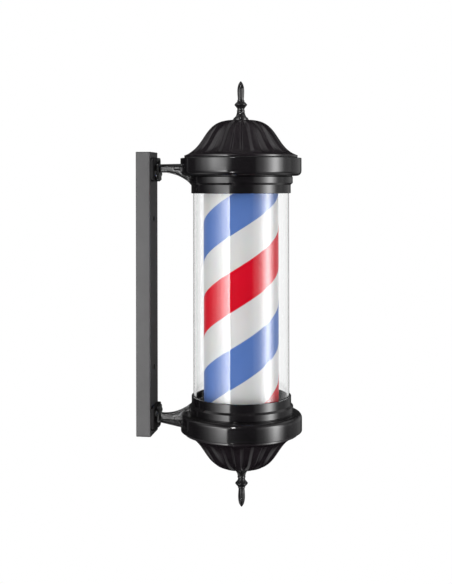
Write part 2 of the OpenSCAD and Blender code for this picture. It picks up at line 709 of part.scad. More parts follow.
// End plate of the drum: a flange under the tube's end and a spigot inside it
drum_spigot_h = 8;
drum_spigot_t = 3;
module drum_end(bore) difference() {
    union() {
        bar(drum_r, drum_h, drum_end_h);
        bar(drum_r - drum_wall - seat_fit, drum_h - drum_spigot_h, drum_h + over);
    }
    bar(drum_r - drum_wall - drum_spigot_t, drum_h - drum_spigot_h - over, drum_h);
    bar(bore, drum_h - drum_spigot_h - over, drum_end_h + over);
}
module drum_base() color("#f0efec") lower_end() difference() {
    drum_end(spindle_d / 2 + run_fit);
    around(4, gear_screw_at) bar(small_screw_d / 2 + pass_fit, drum_h - over, drum_end_h + over);
}
hub_r = 12;
module drum_top_cap() color("#f0efec") upper_end() {
    drum_end(pin_d / 2 + seat_fit);
    ring(hub_r, pin_d / 2 + seat_fit, drum_end_h - over, plate_h - bush_flange_t - 0.6);
}
module pivot_pin() color("silver") upper_end() bar(pin_d / 2, drum_h, pin_top_h);
module drum_tube() color("#f2f1ee") upper_end() ring(drum_r, drum_r - drum_wall, -drum_h, drum_h);

// Coloured film wound up the drum, with its middle at height start where it faces +X
film_step = 5;
film_in = (drum_r + 0.03) / cos(film_step / 2);
film_edge = drum_h - 1;
module stripe(start) {
    turn0 = (-film_edge - stripe_h / 2 - start + 0.6) / stripe_lead * 360;
    turn1 = (film_edge + stripe_h / 2 - start - 0.6) / stripe_lead * 360;
    n = ceil((turn1 - turn0) / film_step);
    function low(a) = max(-film_edge, start + stripe_lead * a / 360 - stripe_h / 2);
    function high(a) = min(film_edge, start + stripe_lead * a / 360 + stripe_h / 2);
    stations = [for (i = [0:n]) turn0 + (turn1 - turn0) * i / n];
    points = [for (a = stations) each [
        [film_in * cos(a), film_in * sin(a), low(a)],
        [(film_in + film_t) * cos(a), (film_in + film_t) * sin(a), low(a)],
        [(film_in + film_t) * cos(a), (film_in + film_t) * sin(a), high(a)],
        [film_in * cos(a), film_in * sin(a), high(a)]]];
    sides = [for (i = [0:n - 1], j = [0:3]) let (j1 = (j + 1) % 4)
        each [[4 * i + j, 4 * i + j1, 4 * i + 4 + j1], [4 * i + j, 4 * i + 4 + j1, 4 * i + 4 + j]]];
    ends = [[0, 3, 2], [0, 2, 1], [4 * n, 4 * n + 1, 4 * n + 2], [4 * n, 4 * n + 2, 4 * n + 3]];
    polyhedron(points = points, faces = concat(sides, ends), convexity = 6);
}
module red_stripe() color("#d01030") upper_end() stripe(red_start);
module blue_stripe() color("#4a66b8") upper_end() stripe(red_start - stripe_lead / 2);

// Gear motor below the plate, its shaft up through the plate
pinion_h = drum_end_h + 0.7;
pinion_t = 8.5;
ear_r = 4.5;
ear_t = 1.5;
shaft_end_h = plate_out + 14;
module motor_case() color("#8d9094") lower_end() difference() {
    union() {
        motor_place() bar(motor_d / 2, plate_out, plate_out + motor_h);
        motor_place() translate([-ear_r, -motor_ear_at, plate_out]) cube([2 * ear_r, 2 * motor_ear_at, ear_t]);
        motor_ears() bar(ear_r, plate_out, plate_out + ear_t);
    }
    motor_ears() bar(small_screw_d / 2 + pass_fit, plate_out - over, plate_out + ear_t + over);
    motor_place() bar(shaft_d / 2 + run_fit, plate_out - over, shaft_end_h + 0.3);
}
module motor_screws() color("silver") lower_end() motor_ears()
    translate([0, 0, plate_out + ear_t]) screw(small_screw_d, ear_t + plate_t);
module motor_shaft() color("silver") lower_end() motor_place() bar(shaft_d / 2, pinion_h, shaft_end_h);
module drive_pinion() color("#c9a24a") lower_end() motor_place() difference() {
    rotate(180 + 180 / pinion_teeth) translate([0, 0, pinion_h])
        linear_extrude(pinion_t) polygon(gear_outline(pinion_teeth));
    bar(shaft_d / 2 + seat_fit, pinion_h - over, pinion_h + pinion_t + over);
}

// Lamp, standing in its holder inside the spindle
holder_r = spindle_bore / 2 - 1;
holder_floor = 6;
lamp_h = plate_h - holder_floor;
lamp_base_h = 30;
lamp_tip_h = 8;
module lamp_holder() color("#f4f4f2") lower_end() difference() {
    bar(holder_r, plate_h - holder_h, plate_h);
    bar(lamp_d / 2 + cast_fit, plate_h - holder_h - over, lamp_h);
    around(2, holder_screw_at, holder_screw_turn) bar(small_screw_d / 2 + seat_fit, plate_h - 5, plate_h + over);
}
module lamp_holder_screws() color("silver") lower_end() around(2, holder_screw_at, holder_screw_turn)
    translate([0, 0, plate_out]) screw(small_screw_d, plate_t + 4);
module lamp_base() color("#d8d8d6") lower_end() bar(lamp_d / 2, lamp_h - lamp_base_h, lamp_h);
module lamp_tube() color("#fbfaf4") lower_end() ring(lamp_d / 2 - 0.5, lamp_d / 2 - 2,
    lamp_h - lamp_len + lamp_tip_h, lamp_h - lamp_base_h);
module lamp_tip() color("#d8d8d6") lower_end() bar(lamp_d / 2, lamp_h - lamp_len, lamp_h - lamp_len + lamp_tip_h);

// Terminal block on the plate, with a pair of wire holes at each pole
block_l = 34;
block_d = 18;
block_h = 14;
module terminal_block() color("#f0ede2") lower_end() block_place() difference() {
    translate([-block_d / 2, -block_l / 2, plate_out]) cube([block_d, block_l, block_h]);
    for (s = [-1, 1]) translate([0, s * block_screw_at, 0]) {
        bar(small_screw_d / 2 + pass_fit, plate_out - over, plate_out + 4 + over);
        bar(small_screw_d + 0.5, plate_out + 4, plate_out + block_h + over);
    }
    for (y = [-13.5, 0, 13.5]) translate([0, y, plate_out + 8]) rotate([0, 90, 0])
        bar(1.9, -block_d / 2 - over, block_d / 2 + over);
}
module terminal_screws() color("silver") lower_end() block_place() for (s = [-1, 1])
    translate([0, s * block_screw_at, plate_out + 4]) screw(small_screw_d, plate_t + 4);

// Round lead along a cubic curve through space, with eight sides
lead_sides = 8;
function cross3(a, b) = [a[1] * b[2] - a[2] * b[1], a[2] * b[0] - a[0] * b[2], a[0] * b[1] - a[1] * b[0]];
function unit(v) = v / norm(v);
module lead(path, n) {
    rings = [for (i = [0:n]) let (
            t = i / n,
            p = cubic(path, t),
            d = unit(cubic(path, min(t + 0.01, 1)) - cubic(path, max(t - 0.01, 0))),
            u = unit(cross3(d, [0.3, 0.2, 1])),
            v = cross3(d, u))
        [for (k = [0:lead_sides - 1]) let (a = 360 * k / lead_sides) p + lead_r * (cos(a) * u + sin(a) * v)]];
    m = lead_sides;
    polyhedron(points = [for (r = rings) each r], faces = concat(
        [[for (j = [0:m - 1]) j]],
        [for (i = [0:n - 1], j = [0:m - 1]) let (j1 = (j + 1) % m)
            each [[i * m + j, i * m + m + j, i * m + m + j1], [i * m + j, i * m + m + j1, i * m + j1]]],
        [[for (j = [m - 1:-1:0]) n * m + j]]));
}
// Point on the face of the terminal block that looks at the pole's axis
function block_face(y, h) = let (a = 90 + gland_turn)
    [(block_at - block_d / 2 - 0.2) * cos(a) - y * sin(a), (block_at - block_d / 2 - 0.2) * sin(a) + y * cos(a), h];
lead_h = plate_out + 8;
block_way = [cos(90 + gland_turn), sin(90 + gland_turn), 0];
lead_exit = [lead_hole_at * cos(lead_hole_turn), lead_hole_at * sin(lead_hole_turn), plate_h + 0.2];
module lamp_lead() color("#f4f4f2") lower_end()
    lead([lead_exit, lead_exit + [0, 0, 12], block_face(0, lead_h) - 14 * block_way, block_face(0, lead_h)], 14);
motor_side = [(motor_d / 2 + 0.2) * cos(60), (motor_d / 2 + 0.2) * sin(60) - gear_gap, lead_h];
module motor_lead() color("#c23b2e") lower_end()
    lead([motor_side, motor_side + [7, 12, 0], block_face(-13.5, lead_h) - 16 * block_way,
        block_face(-13.5, lead_h)], 14);

wall_rail();
rail_end_plugs();
upper_arm();
lower_arm();
upper_arm_bolts();
lower_arm_bolts();
upper_collar();
lower_collar();
upper_saddle_screws();
lower_saddle_screws();
clear_tube();
upper_tube_gasket();
lower_tube_gasket();
upper_dome();
lower_dome();
upper_dome_seal();
lower_dome_seal();
upper_finial();
lower_finial();
upper_dome_stud();
lower_dome_stud();
drum_tube();
red_stripe();
blue_stripe();
drum_base();
drum_gear();
drum_gear_screws();
drum_top_cap();
pivot_pin();
pivot_bush();
bearing_housing();
housing_screws();
bearing_plate();
bearing_plate_screws();
chassis_plate();
chassis_screws();
spindle();
spindle_screws();
thrust_washer();
motor_case();
motor_screws();
motor_shaft();
drive_pinion();
lamp_holder();
lamp_holder_screws();
lamp_base();
lamp_tube();
lamp_tip();
terminal_block();
terminal_screws();
motor_lead();
lamp_lead();
cable_gland();
gland_nut();
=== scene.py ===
from math import cos, exp, pi, radians, sin, sqrt, tan

import bmesh
import bpy
from mathutils import Matrix, Vector


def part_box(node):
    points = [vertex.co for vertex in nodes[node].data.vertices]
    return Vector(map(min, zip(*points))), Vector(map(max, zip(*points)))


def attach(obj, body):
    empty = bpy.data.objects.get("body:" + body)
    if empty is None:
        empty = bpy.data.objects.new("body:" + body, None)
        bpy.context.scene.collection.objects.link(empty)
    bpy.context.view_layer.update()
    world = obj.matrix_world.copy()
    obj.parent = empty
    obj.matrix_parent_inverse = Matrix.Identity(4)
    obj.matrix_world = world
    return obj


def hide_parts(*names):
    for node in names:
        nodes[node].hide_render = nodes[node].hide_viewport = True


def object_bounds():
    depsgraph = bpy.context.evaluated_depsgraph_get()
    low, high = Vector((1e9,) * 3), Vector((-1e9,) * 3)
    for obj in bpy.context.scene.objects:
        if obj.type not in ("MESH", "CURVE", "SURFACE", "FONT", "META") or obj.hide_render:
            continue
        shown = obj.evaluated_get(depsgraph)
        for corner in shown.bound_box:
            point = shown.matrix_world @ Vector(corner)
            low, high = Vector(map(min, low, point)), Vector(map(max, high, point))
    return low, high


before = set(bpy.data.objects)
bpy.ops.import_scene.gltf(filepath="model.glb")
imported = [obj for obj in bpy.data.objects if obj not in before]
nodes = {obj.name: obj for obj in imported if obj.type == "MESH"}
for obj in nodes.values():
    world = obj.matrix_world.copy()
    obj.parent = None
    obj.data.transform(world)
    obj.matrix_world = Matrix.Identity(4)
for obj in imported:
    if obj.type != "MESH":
        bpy.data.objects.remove(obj)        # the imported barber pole: bodies, nodes, joints and record
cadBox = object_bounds()
print("frame loaded with", len(nodes), "nodes")

mm = 0.001
tau = 2 * pi

# Places shared by several pieces, read from the frame
collarLow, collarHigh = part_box("upper_collar")
tubeLow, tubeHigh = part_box("clear_tube")
drumLow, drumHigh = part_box("drum_tube")
poleY = (tubeLow.y + tubeHigh.y) / 2
bigR = (collarHigh.x - collarLow.x) / 2
rimH, endH = collarLow.z, collarHigh.z
tubeR = (tubeHigh.x - tubeLow.x) / 2
drumR = (drumHigh.x - drumLow.x) / 2


# Camera: level, as far off and as far round as in the photo
cameraPlace = {
    "azimuth": -81.3,       # degrees round the pole, where 0 looks along +Y
    "distance": 1.787,      # to the pole's axis
    "height": 0.1837,
    "aside": 0.0250,        # the pole stands this far right of the view's middle
    "lens": 65.96,
    "shiftY": -0.185,       # the view is level, and cut so that the pole fills it
    "roll": -0.11,          # degrees, as the photo was held
    "clip": (0.05, 50.0),
}


def cameraFrame(place):
    turn = radians(place["azimuth"])
    back = Vector((sin(turn), -cos(turn), 0))
    right = Vector((cos(turn), sin(turn), 0))
    return back, right


def addCamera(place):
    back, right = cameraFrame(place)
    data = bpy.data.cameras.new("photoCamera")
    camera = bpy.data.objects.new("photoCamera", data)
    bpy.context.scene.collection.objects.link(camera)
    spot = Vector((0, poleY, place["height"])) + back * place["distance"] - right * place["aside"]
    level = (-back).to_track_quat("-Z", "Y").to_matrix().to_4x4()
    tilt = Matrix.Rotation(radians(place["roll"]), 4, "Z")
    camera.matrix_world = Matrix.Translation(spot) @ level @ tilt
    data.lens = place["lens"]
    data.shift_y = place["shiftY"]
    data.clip_start, data.clip_end = place["clip"]
    bpy.context.scene.camera = camera


addCamera(cameraPlace)
print("camera placed")


# Node helpers

def setInputs(tree, node, inputs):
    # a socket is linked, anything else becomes the input's own value
    for key, value in inputs.items():
        if isinstance(value, bpy.types.NodeSocket):
            tree.links.new(value, node.inputs[key])
        else:
            node.inputs[key].default_value = value


def addNode(tree, kind, inputs=None, **properties):
    node = tree.nodes.new("ShaderNode" + kind)
    for key, value in properties.items():
        setattr(node, key, value)
    setInputs(tree, node, inputs or {})
    return node


def mathNode(tree, operation, first, second=0.0, clamp=False):
    return addNode(tree, "Math", {0: first, 1: second}, operation=operation, use_clamp=clamp).outputs[0]


def vectorNode(tree, operation, first, second=(0, 0, 0), output="Vector"):
    return addNode(tree, "VectorMath", {0: first, 1: tuple(second)}, operation=operation).outputs[output]


def mapped(tree, value, span, start=0.0, stop=1.0, smooth=False):
    # start below the span, stop above it, and a straight or soft way between
    way = "SMOOTHSTEP" if smooth else "LINEAR"
    inputs = {0: value, 1: span[0], 2: span[1], 3: start, 4: stop}
    return addNode(tree, "MapRange", inputs, interpolation_type=way).outputs[0]


def mixColours(tree, factor, first, second):
    return addNode(tree, "Mix", {0: factor, 6: first, 7: second}, data_type="RGBA").outputs[2]


def mixValues(tree, factor, first, second):
    return addNode(tree, "Mix", {0: factor, 2: first, 3: second}).outputs[0]


def noiseNode(tree, place, scale, detail):
    return addNode(tree, "TexNoise", {"Vector": place, "Scale": scale, "Detail": detail}).outputs[0]


def partOf(tree, vector, axis):
    return addNode(tree, "SeparateXYZ", {0: vector}).outputs[axis]


def ownPlace(tree):
    return addNode(tree, "TexCoord").outputs["Object"]


def newGroup(name, inputs, outputs):
    group = bpy.data.node_groups.new(name, "ShaderNodeTree")
    for label, value in inputs.items():
        kind = "NodeSocketColor" if isinstance(value, tuple) else "NodeSocketFloat"
        group.interface.new_socket(label, in_out="INPUT", socket_type=kind).default_value = value
    for label, kind in outputs.items():
        group.interface.new_socket(label, in_out="OUTPUT", socket_type="NodeSocket" + kind)
    return group, group.nodes.new("NodeGroupInput").outputs, group.nodes.new("NodeGroupOutput")


def useGroup(tree, group, inputs):
    node = tree.nodes.new("ShaderNodeGroup")
    node.node_tree = group
    setInputs(tree, node, inputs)
    return node.outputs


# Shared surface effects

mottleForm = {"levels": (0.3, 0.7), "broadDetail": 3.0, "fineScale": 6.0, "fineDetail": 4.0}
peelForm = {"waveDetail": 1.0, "grainScale": 5.0, "grainDetail": 2.0}
dustForm = {"up": (0.25, 1.0), "levels": (0.35, 0.75), "scale": 220.0, "detail": 6.0}
toolingForm = {"detail": 3.0}
midGrey = (0.5, 0.5, 0.5, 1)


def driftedRoughness(group, given, noise):
    # the roughness, moved up and down by the noise times the spread
    centred = mathNode(group, "SUBTRACT", noise, 0.5)
    spread = mathNode(group, "MULTIPLY", centred, given["Spread"])
    return mathNode(group, "ADD", given["Roughness"], spread, clamp=True)


def makeMottle(form):
    # slow drift between two colours, and a finer drift of the roughness
    group, given, out = newGroup(
        "mottle",
        {"Colour": midGrey, "Second Colour": midGrey, "Scale": 60.0, "Roughness": 0.4, "Spread": 0.1},
        {"Colour": "Color", "Roughness": "Float"})
    place = ownPlace(group)
    broad = noiseNode(group, place, given["Scale"], form["broadDetail"])
    drift = mapped(group, broad, form["levels"])
    fineScale = mathNode(group, "MULTIPLY", given["Scale"], form["fineScale"])
    fine = noiseNode(group, place, fineScale, form["fineDetail"])
    setInputs(group, out, {
        "Colour": mixColours(group, drift, given["Colour"], given["Second Colour"]),
        "Roughness": driftedRoughness(group, given, fine)})
    return group


def makePeel(form):
    # low rounded waves of sprayed paint over a finer grain
    group, given, out = newGroup("peel", {"Scale": 500.0, "Grain": 0.2}, {"Height": "Float"})
    place = ownPlace(group)
    waves = noiseNode(group, place, given["Scale"], form["waveDetail"])
    grainScale = mathNode(group, "MULTIPLY", given["Scale"], form["grainScale"])
    grain = noiseNode(group, place, grainScale, form["grainDetail"])
    share = mathNode(group, "MULTIPLY", grain, given["Grain"])
    setInputs(group, out, {"Height": mathNode(group, "ADD", waves, share)})
    return group


def makeDust(form):
    # thin dust on what faces up
    group, given, out = newGroup(
        "dust",
        {"Colour": midGrey, "Roughness": 0.4, "Dust Colour": (0.4, 0.39, 0.37, 1), "Amount": 0.05},
        {"Colour": "Color", "Roughness": "Float"})
    normal = addNode(group, "NewGeometry").outputs["Normal"]
    facing = mapped(group, partOf(group, normal, "Z"), form["up"])
    patches = noiseNode(group, ownPlace(group), form["scale"], form["detail"])
    patches = mapped(group, patches, form["levels"])
    mask = mathNode(group, "MULTIPLY", facing, patches)
    mask = mathNode(group, "MULTIPLY", mask, given["Amount"])
    setInputs(group, out, {
        "Colour": mixColours(group, mask, given["Colour"], given["Dust Colour"]),
        "Roughness": mathNode(group, "ADD", given["Roughness"], mask, clamp=True)})
    return group


def makeTooling(form):
    # fine turned or drawn lines, squeezed along the pole
    group, given, out = newGroup(
        "tooling", {"Scale": 300.0, "Squeeze": 12.0, "Roughness": 0.3, "Spread": 0.15},
        {"Roughness": "Float", "Height": "Float"})
    parts = addNode(group, "SeparateXYZ", {0: ownPlace(group)}).outputs
    squeezed = mathNode(group, "MULTIPLY", parts["Z"], given["Squeeze"])
    vector = addNode(group, "CombineXYZ", {0: parts["X"], 1: parts["Y"], 2: squeezed}).outputs[0]
    lines = noiseNode(group, vector, given["Scale"], form["detail"])
    setInputs(group, out, {"Height": lines, "Roughness": driftedRoughness(group, given, lines)})
    return group


def makeThinCoat():
    # lacquer that grows thin towards the wall, where the spray didn't reach
    group, given, out = newGroup(
        "thinCoat", {"Coat": 1.0, "Left": 0.1, "Start": -0.1, "Stop": 0.0}, {"Coat": "Float"})
    span = (given["Start"], given["Stop"])
    share = mapped(group, partOf(group, ownPlace(group), "Y"), span, 1.0, given["Left"])
    setInputs(group, out, {"Coat": mathNode(group, "MULTIPLY", given["Coat"], share)})
    return group


mottle = makeMottle(mottleForm)
peel = makePeel(peelForm)
dust = makeDust(dustForm)
tooling = makeTooling(toolingForm)
thinCoat = makeThinCoat()


def newMaterial(name):
    material = bpy.data.materials.new(name)
    material.use_nodes = True
    tree = material.node_tree
    return material, tree, tree.nodes["Principled BSDF"]


def colour4(rgb):
    return (rgb[0], rgb[1], rgb[2], 1)


# What a look leaves out is taken from these
coatedPlain = {
    "mottleScale": 60.0, "spread": 0.08, "dust": 0.03, "peelScale": 500.0, "grain": 0.2,
    "bump": 0.1, "bumpDeep": 0.4 * mm, "coat": 0.0, "coatRoughness": 0.05, "coatIor": 1.5,
    "specular": 0.5, "subsurface": 0.0, "subsurfaceDeep": 3 * mm,
}
metalPlain = {
    "lineScale": 300.0, "squeeze": 12.0, "spread": 0.15, "mottleScale": 90.0,
    "bump": 0.08, "bumpDeep": 0.3 * mm,
}


def mottledSkin(tree, look, **more):
    return useGroup(tree, mottle, {
        "Colour": colour4(look["colour"]), "Second Colour": colour4(look["second"]),
        "Scale": look["mottleScale"], **more})


def bumpNormal(tree, look, height):
    inputs = {"Height": height, "Strength": look["bump"], "Distance": look["bumpDeep"]}
    return addNode(tree, "Bump", inputs).outputs["Normal"]


def coatedMaterial(name, look):
    # paint, plastic or rubber: mottled colour, light dust, and a peel or grain in the bump
    look = {**coatedPlain, **look}
    material, tree, shader = newMaterial(name)
    skin = mottledSkin(tree, look, Roughness=look["roughness"], Spread=look["spread"])
    dusty = useGroup(tree, dust, {
        "Colour": skin["Colour"], "Roughness": skin["Roughness"], "Amount": look["dust"]})
    waves = useGroup(tree, peel, {"Scale": look["peelScale"], "Grain": look["grain"]})
    coat = look["coat"]
    if "coatLeft" in look:
        coat = useGroup(tree, thinCoat, {
            "Coat": coat, "Left": look["coatLeft"], "Start": look["thinFrom"],
            "Stop": look["thinTo"]})["Coat"]
    setInputs(tree, shader, {
        "Base Color": dusty["Colour"], "Roughness": dusty["Roughness"],
        "Normal": bumpNormal(tree, look, waves["Height"]), "Coat Weight": coat,
        "Coat Roughness": look["coatRoughness"], "Coat IOR": look["coatIor"],
        "Specular IOR Level": look["specular"], "Subsurface Weight": look["subsurface"],
        "Subsurface Scale": look["subsurfaceDeep"]})
    return material


def metalMaterial(name, look):
    # bare metal with fine tool marks
    look = {**metalPlain, **look}
    material, tree, shader = newMaterial(name)
    lines = useGroup(tree, tooling, {
        "Scale": look["lineScale"], "Squeeze": look["squeeze"], "Roughness": look["roughness"],
        "Spread": look["spread"]})
    setInputs(tree, shader, {
        "Base Color": mottledSkin(tree, look)["Colour"], "Roughness": lines["Roughness"],
        "Normal": bumpNormal(tree, look, lines["Height"]), "Metallic": 1.0})
    return material


# Mesh helpers

weldGap = 1e-7          # points closer than this become one
cornerShare = 0.499     # the most of an edge that a rounded corner may use
creaseAngle = 32        # in degrees, and creases above it stay sharp
arcSteps = 4            # in a rounded corner
turnSteps = 192         # round the pole


def smooth(piece, sharpAngle):
    # smooth faces with sharp creases
    piece.data.shade_smooth()
    piece.data.set_sharp_from_angle(angle=radians(sharpAngle))
    piece.modifiers.new("evenNormals", "WEIGHTED_NORMAL").keep_sharp = True


def linkPiece(name, shape, sharpAngle=creaseAngle):
    # makes an object of a filled bmesh
    bmesh.ops.recalc_face_normals(shape, faces=shape.faces)
    data = bpy.data.meshes.new(name)
    shape.to_mesh(data)
    shape.free()
    piece = bpy.data.objects.new(name, data)
    bpy.context.scene.collection.objects.link(piece)
    smooth(piece, sharpAngle)
    return piece


def addSkin(shape, rows, closeRows=False, closeColumns=True, capEnds=False):
    grid = [[shape.verts.new(point) for point in row] for row in rows]
    rowCount, columnCount = len(grid), len(grid[0])
    for i in range(rowCount if closeRows else rowCount - 1):
        near, far = grid[i], grid[(i + 1) % rowCount]
        for j in range(columnCount if closeColumns else columnCount - 1):
            k = (j + 1) % columnCount
            shape.faces.new((near[j], near[k], far[k], far[j]))
    if capEnds:
        shape.faces.new(grid[0])
        shape.faces.new(grid[-1][::-1])


def gridPiece(name, rows, sharpAngle=creaseAngle, **options):
    shape = bmesh.new()
    addSkin(shape, rows, **options)
    bmesh.ops.remove_doubles(shape, verts=shape.verts, dist=weldGap)
    return linkPiece(name, shape, sharpAngle)


def softCorners(points, closed=True, steps=arcSteps):
    # points are (x, y, radius); each corner with a radius becomes a short arc
    soft = []
    count = len(points)
    for i, (x, y, radius) in enumerate(points):
        atEnd = not closed and i in (0, count - 1)
        if not radius or atEnd:
            soft.append((x, y))
            continue
        corner = Vector((x, y))
        before = Vector(points[i - 1][:2]) - corner
        after = Vector(points[(i + 1) % count][:2]) - corner
        half = before.angle(after) / 2
        cut = min(radius / tan(half), before.length * cornerShare, after.length * cornerShare)
        start = corner + before.normalized() * cut
        finish = corner + after.normalized() * cut
        centre = corner + (before.normalized() + after.normalized()).normalized() * (cut / cos(half))
        for k in range(steps + 1):
            arm = (start - centre).normalized().slerp((finish - centre).normalized(), k / steps)
            soft.append(tuple(centre + arm * (cut * tan(half))))
    return soft


def ringOutline(radii, heights, inner, outer):
    # the section of a plain ring, with its corner rounds on the inside and the outside
    return softCorners([
        (radii[0], heights[0], inner), (radii[1], heights[0], outer),
        (radii[1], heights[1], outer), (radii[0], heights[1], inner)])


def turnedRows(outline, steps, swell=None):
    # rows of points round the Z axis; swell scales the radius by height and angle
    rows = []
    for radius, height in outline:
        row = []
        for j in range(steps):
            angle = tau * j / steps
            r = radius * (swell(height, angle) if swell else 1)
            row.append(Vector((r * cos(angle), r * sin(angle), height)))
        rows.append(row)
    return rows


def onPole(rows, end=1):
    # from the pole's own axis to the frame; end is -1 for the lower half's mirror image
    return [[Vector((p.x, p.y + poleY, p.z * end)) for p in row] for row in rows]


def turned(name, outline, end=1, steps=turnSteps, closed=True, swell=None, sharpAngle=creaseAngle):
    rows = onPole(turnedRows(outline, steps, swell), end)
    return gridPiece(name, rows, sharpAngle, closeRows=closed)


def give(piece, material):
    piece.data.materials.clear()
    piece.data.materials.append(material)


def fit(piece, body, slotName, material, *replaced):
    give(piece, material)
    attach(piece, body)
    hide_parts(*replaced)


def settle(piece):
    # what the modifiers give becomes the piece's own mesh
    finished = piece.evaluated_get(bpy.context.evaluated_depsgraph_get())
    settled = bpy.data.meshes.new_from_object(finished)
    piece.modifiers.clear()
    piece.data = settled


ends = {"upper": 1, "lower": -1}


# Collars

collarForm = {
    "rimStep": 3.4 * mm, "bigStep": 18 * mm, "rimBand": 13.8 * mm, "midBand": 13.2 * mm,
    "neckCut": 1.8 * mm, "shoulderRound": 14 * mm, "wall": 3.7 * mm, "seatFit": 0.4 * mm,
    "mouthWidth": 11 * mm, "mouthLip": 3.5 * mm, "ledge": 3 * mm, "ledgeWidth": 4 * mm,
    "edge": 1.2 * mm, "corner": 0.7 * mm, "inner": 0.4 * mm, "steps": 240, "cornerSteps": 6,
}
collarLook = {
    "colour": (0.0023, 0.0020, 0.0024), "second": (0.0040, 0.0035, 0.0041), "roughness": 0.3,
    "spread": 0.06, "mottleScale": 40.0, "peelScale": 260.0, "grain": 0.1, "bump": 0.05,
    "coat": 1.0, "coatRoughness": 0.11, "specular": 0.05, "dust": 0.02,
}
rimR = bigR - collarForm["bigStep"]
midR = rimR + collarForm["rimStep"]
midH = rimH + collarForm["rimBand"]
neckH = midH + collarForm["midBand"]
shoulderH = neckH + collarForm["neckCut"]
mouthR = bigR - collarForm["mouthWidth"]


def collarOutline(form):
    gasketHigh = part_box("upper_tube_gasket")[1]
    ledgeR, ledgeH = gasketHigh.x - form["ledgeWidth"], gasketHigh.z
    seatR = tubeR + form["seatFit"]
    wall = form["wall"]
    cavityR, throatR = bigR - wall, midR - wall
    corner, inner = form["corner"], form["inner"]
    return softCorners([
        (seatR, rimH, inner), (rimR, rimH, corner), (rimR, midH, inner),
        (midR, midH + form["rimStep"], corner), (midR, neckH, corner),
        (midR - form["neckCut"], shoulderH, inner), (bigR, shoulderH, form["shoulderRound"]),
        (bigR, endH, form["edge"]), (mouthR, endH, inner), (mouthR, endH - form["mouthLip"], inner),
        (cavityR, endH - form["mouthLip"], inner),
        (cavityR, shoulderH + wall, form["shoulderRound"] - wall),
        (throatR, shoulderH + wall, inner), (throatR, ledgeH + form["ledge"], inner),
        (ledgeR, ledgeH + form["ledge"], inner), (ledgeR, ledgeH, inner), (seatR, ledgeH, inner)],
        steps=form["cornerSteps"])


collarBlack = coatedMaterial("collarBlack", collarLook)
collarSection = collarOutline(collarForm)
for side, end in ends.items():
    collar = turned(side + "CollarCasting", collarSection, end, steps=collarForm["steps"])
    fit(collar, "frame", "casting_black", collarBlack, side + "_collar")
print("collars turned")


# Fluted domes

domeForm = {
    "lip": 3.5 * mm, "crownR": 13.5 * mm, "wall": 6.5 * mm, "studHole": 3.3 * mm,
    "footPull": (38.7 * mm, 12.9 * mm), "crownPull": 51.3 * mm, "sharpAngle": 75,
    "spigotWall": 3 * mm, "spigotFit": 0.3 * mm, "edge": 0.4 * mm, "innerRows": 20, "footRows": 2,
}
# Heights up the dome go from 0 at the lip to 1 at the crown; widths are shares of half a flute's pitch
fluteForm = {
    "flutes": 14, "turn": 15.0, "share": 0.50, "depth": 4 * mm, "slope": 0.34,
    "start": 0.075, "stop": 0.94, "footRound": 0.07, "taper": 0.22, "deepen": 1.3, "narrowest": 0.05,
    "bead": 0.25 * mm, "beadWidth": 0.07, "ribCrown": 0.5 * mm, "ribPower": 1.2,
    "columns": 44, "crowding": 0.5, "rows": 84, "rowPower": 1.15,
}
domeLook = {
    "colour": (0.0055, 0.0042, 0.0052), "second": (0.0085, 0.0065, 0.0082), "roughness": 0.3,
    "spread": 0.08, "mottleScale": 45.0, "peelScale": 300.0, "grain": 0.2, "bump": 0.04,
    "coat": 0.77, "coatRoughness": 0.09, "specular": 0.1, "dust": 0.02,
}
domeLow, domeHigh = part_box("upper_dome")
domeR = (domeHigh.x - domeLow.x) / 2
crownH = domeHigh.z
sealLow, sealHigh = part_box("upper_dome_seal")
lipTop = sealHigh.z + domeForm["lip"]


def cubicPoint(pulls, t):
    weights = ((1 - t) ** 3, 3 * (1 - t) ** 2 * t, 3 * (1 - t) * t * t, t ** 3)
    return sum((w * p for w, p in zip(weights, pulls)), Vector((0, 0)))


def domeCurve(form):
    return [Vector((domeR, lipTop)),
            Vector((domeR - form["footPull"][0], lipTop + form["footPull"][1])),
            Vector((form["crownR"] + form["crownPull"], crownH)),
            Vector((form["crownR"], crownH))]


def inwardAt(curve, t, step=0.001):
    along = cubicPoint(curve, min(t + step, 1)) - cubicPoint(curve, max(t - step, 0))
    return Vector((-along.y, along.x)).normalized()


def fluteOpening(form, t):
    if t <= form["start"] or t >= form["stop"]:
        return 0
    roundFoot = min((t - form["start"]) / form["footRound"], 1)
    taper = min((form["stop"] - t) / form["taper"], 1)
    return sqrt(1 - (1 - roundFoot) ** 2) * taper


def fluteDip(form, t, across):
    # how far the face lies back at across, 0 in a flute's middle and 1 in a rib's middle
    opening = fluteOpening(form, t)
    half = form["share"] * max(opening, form["narrowest"])
    depth = form["depth"] * min(opening * form["deepen"], 1)
    sunk = min(max((half - across) / form["slope"] + 0.5, 0), 1)
    sunk = 0.5 * sunk * (1 + sunk * (3 - 2 * sunk))
    rib = max(across - half, 0) / (1 - half)
    crown = form["ribCrown"] * (1 - sunk) * sin(rib * pi / 2) ** form["ribPower"]
    bead = form["bead"] * exp(-((across - half - 0.5 * form["slope"]) / form["beadWidth"]) ** 2)
    return depth * sunk - opening * (crown + bead)


def faceRow(form, curve, t):
    point, inward = cubicPoint(curve, t), inwardAt(curve, t)
    row = []
    for j in range(form["flutes"] * form["columns"]):
        # the columns crowd towards the walls of the flutes, a quarter of the way round each
        share = j / form["columns"]
        share += form["crowding"] * sin(2 * tau * share) / (2 * tau)
        across = abs((share + 0.5) % 1 - 0.5) * 2
        r, height = point + inward * fluteDip(form, t, across)
        angle = tau * share / form["flutes"] + radians(form["turn"])
        row.append(Vector((r * cos(angle), r * sin(angle), height)))
    return row


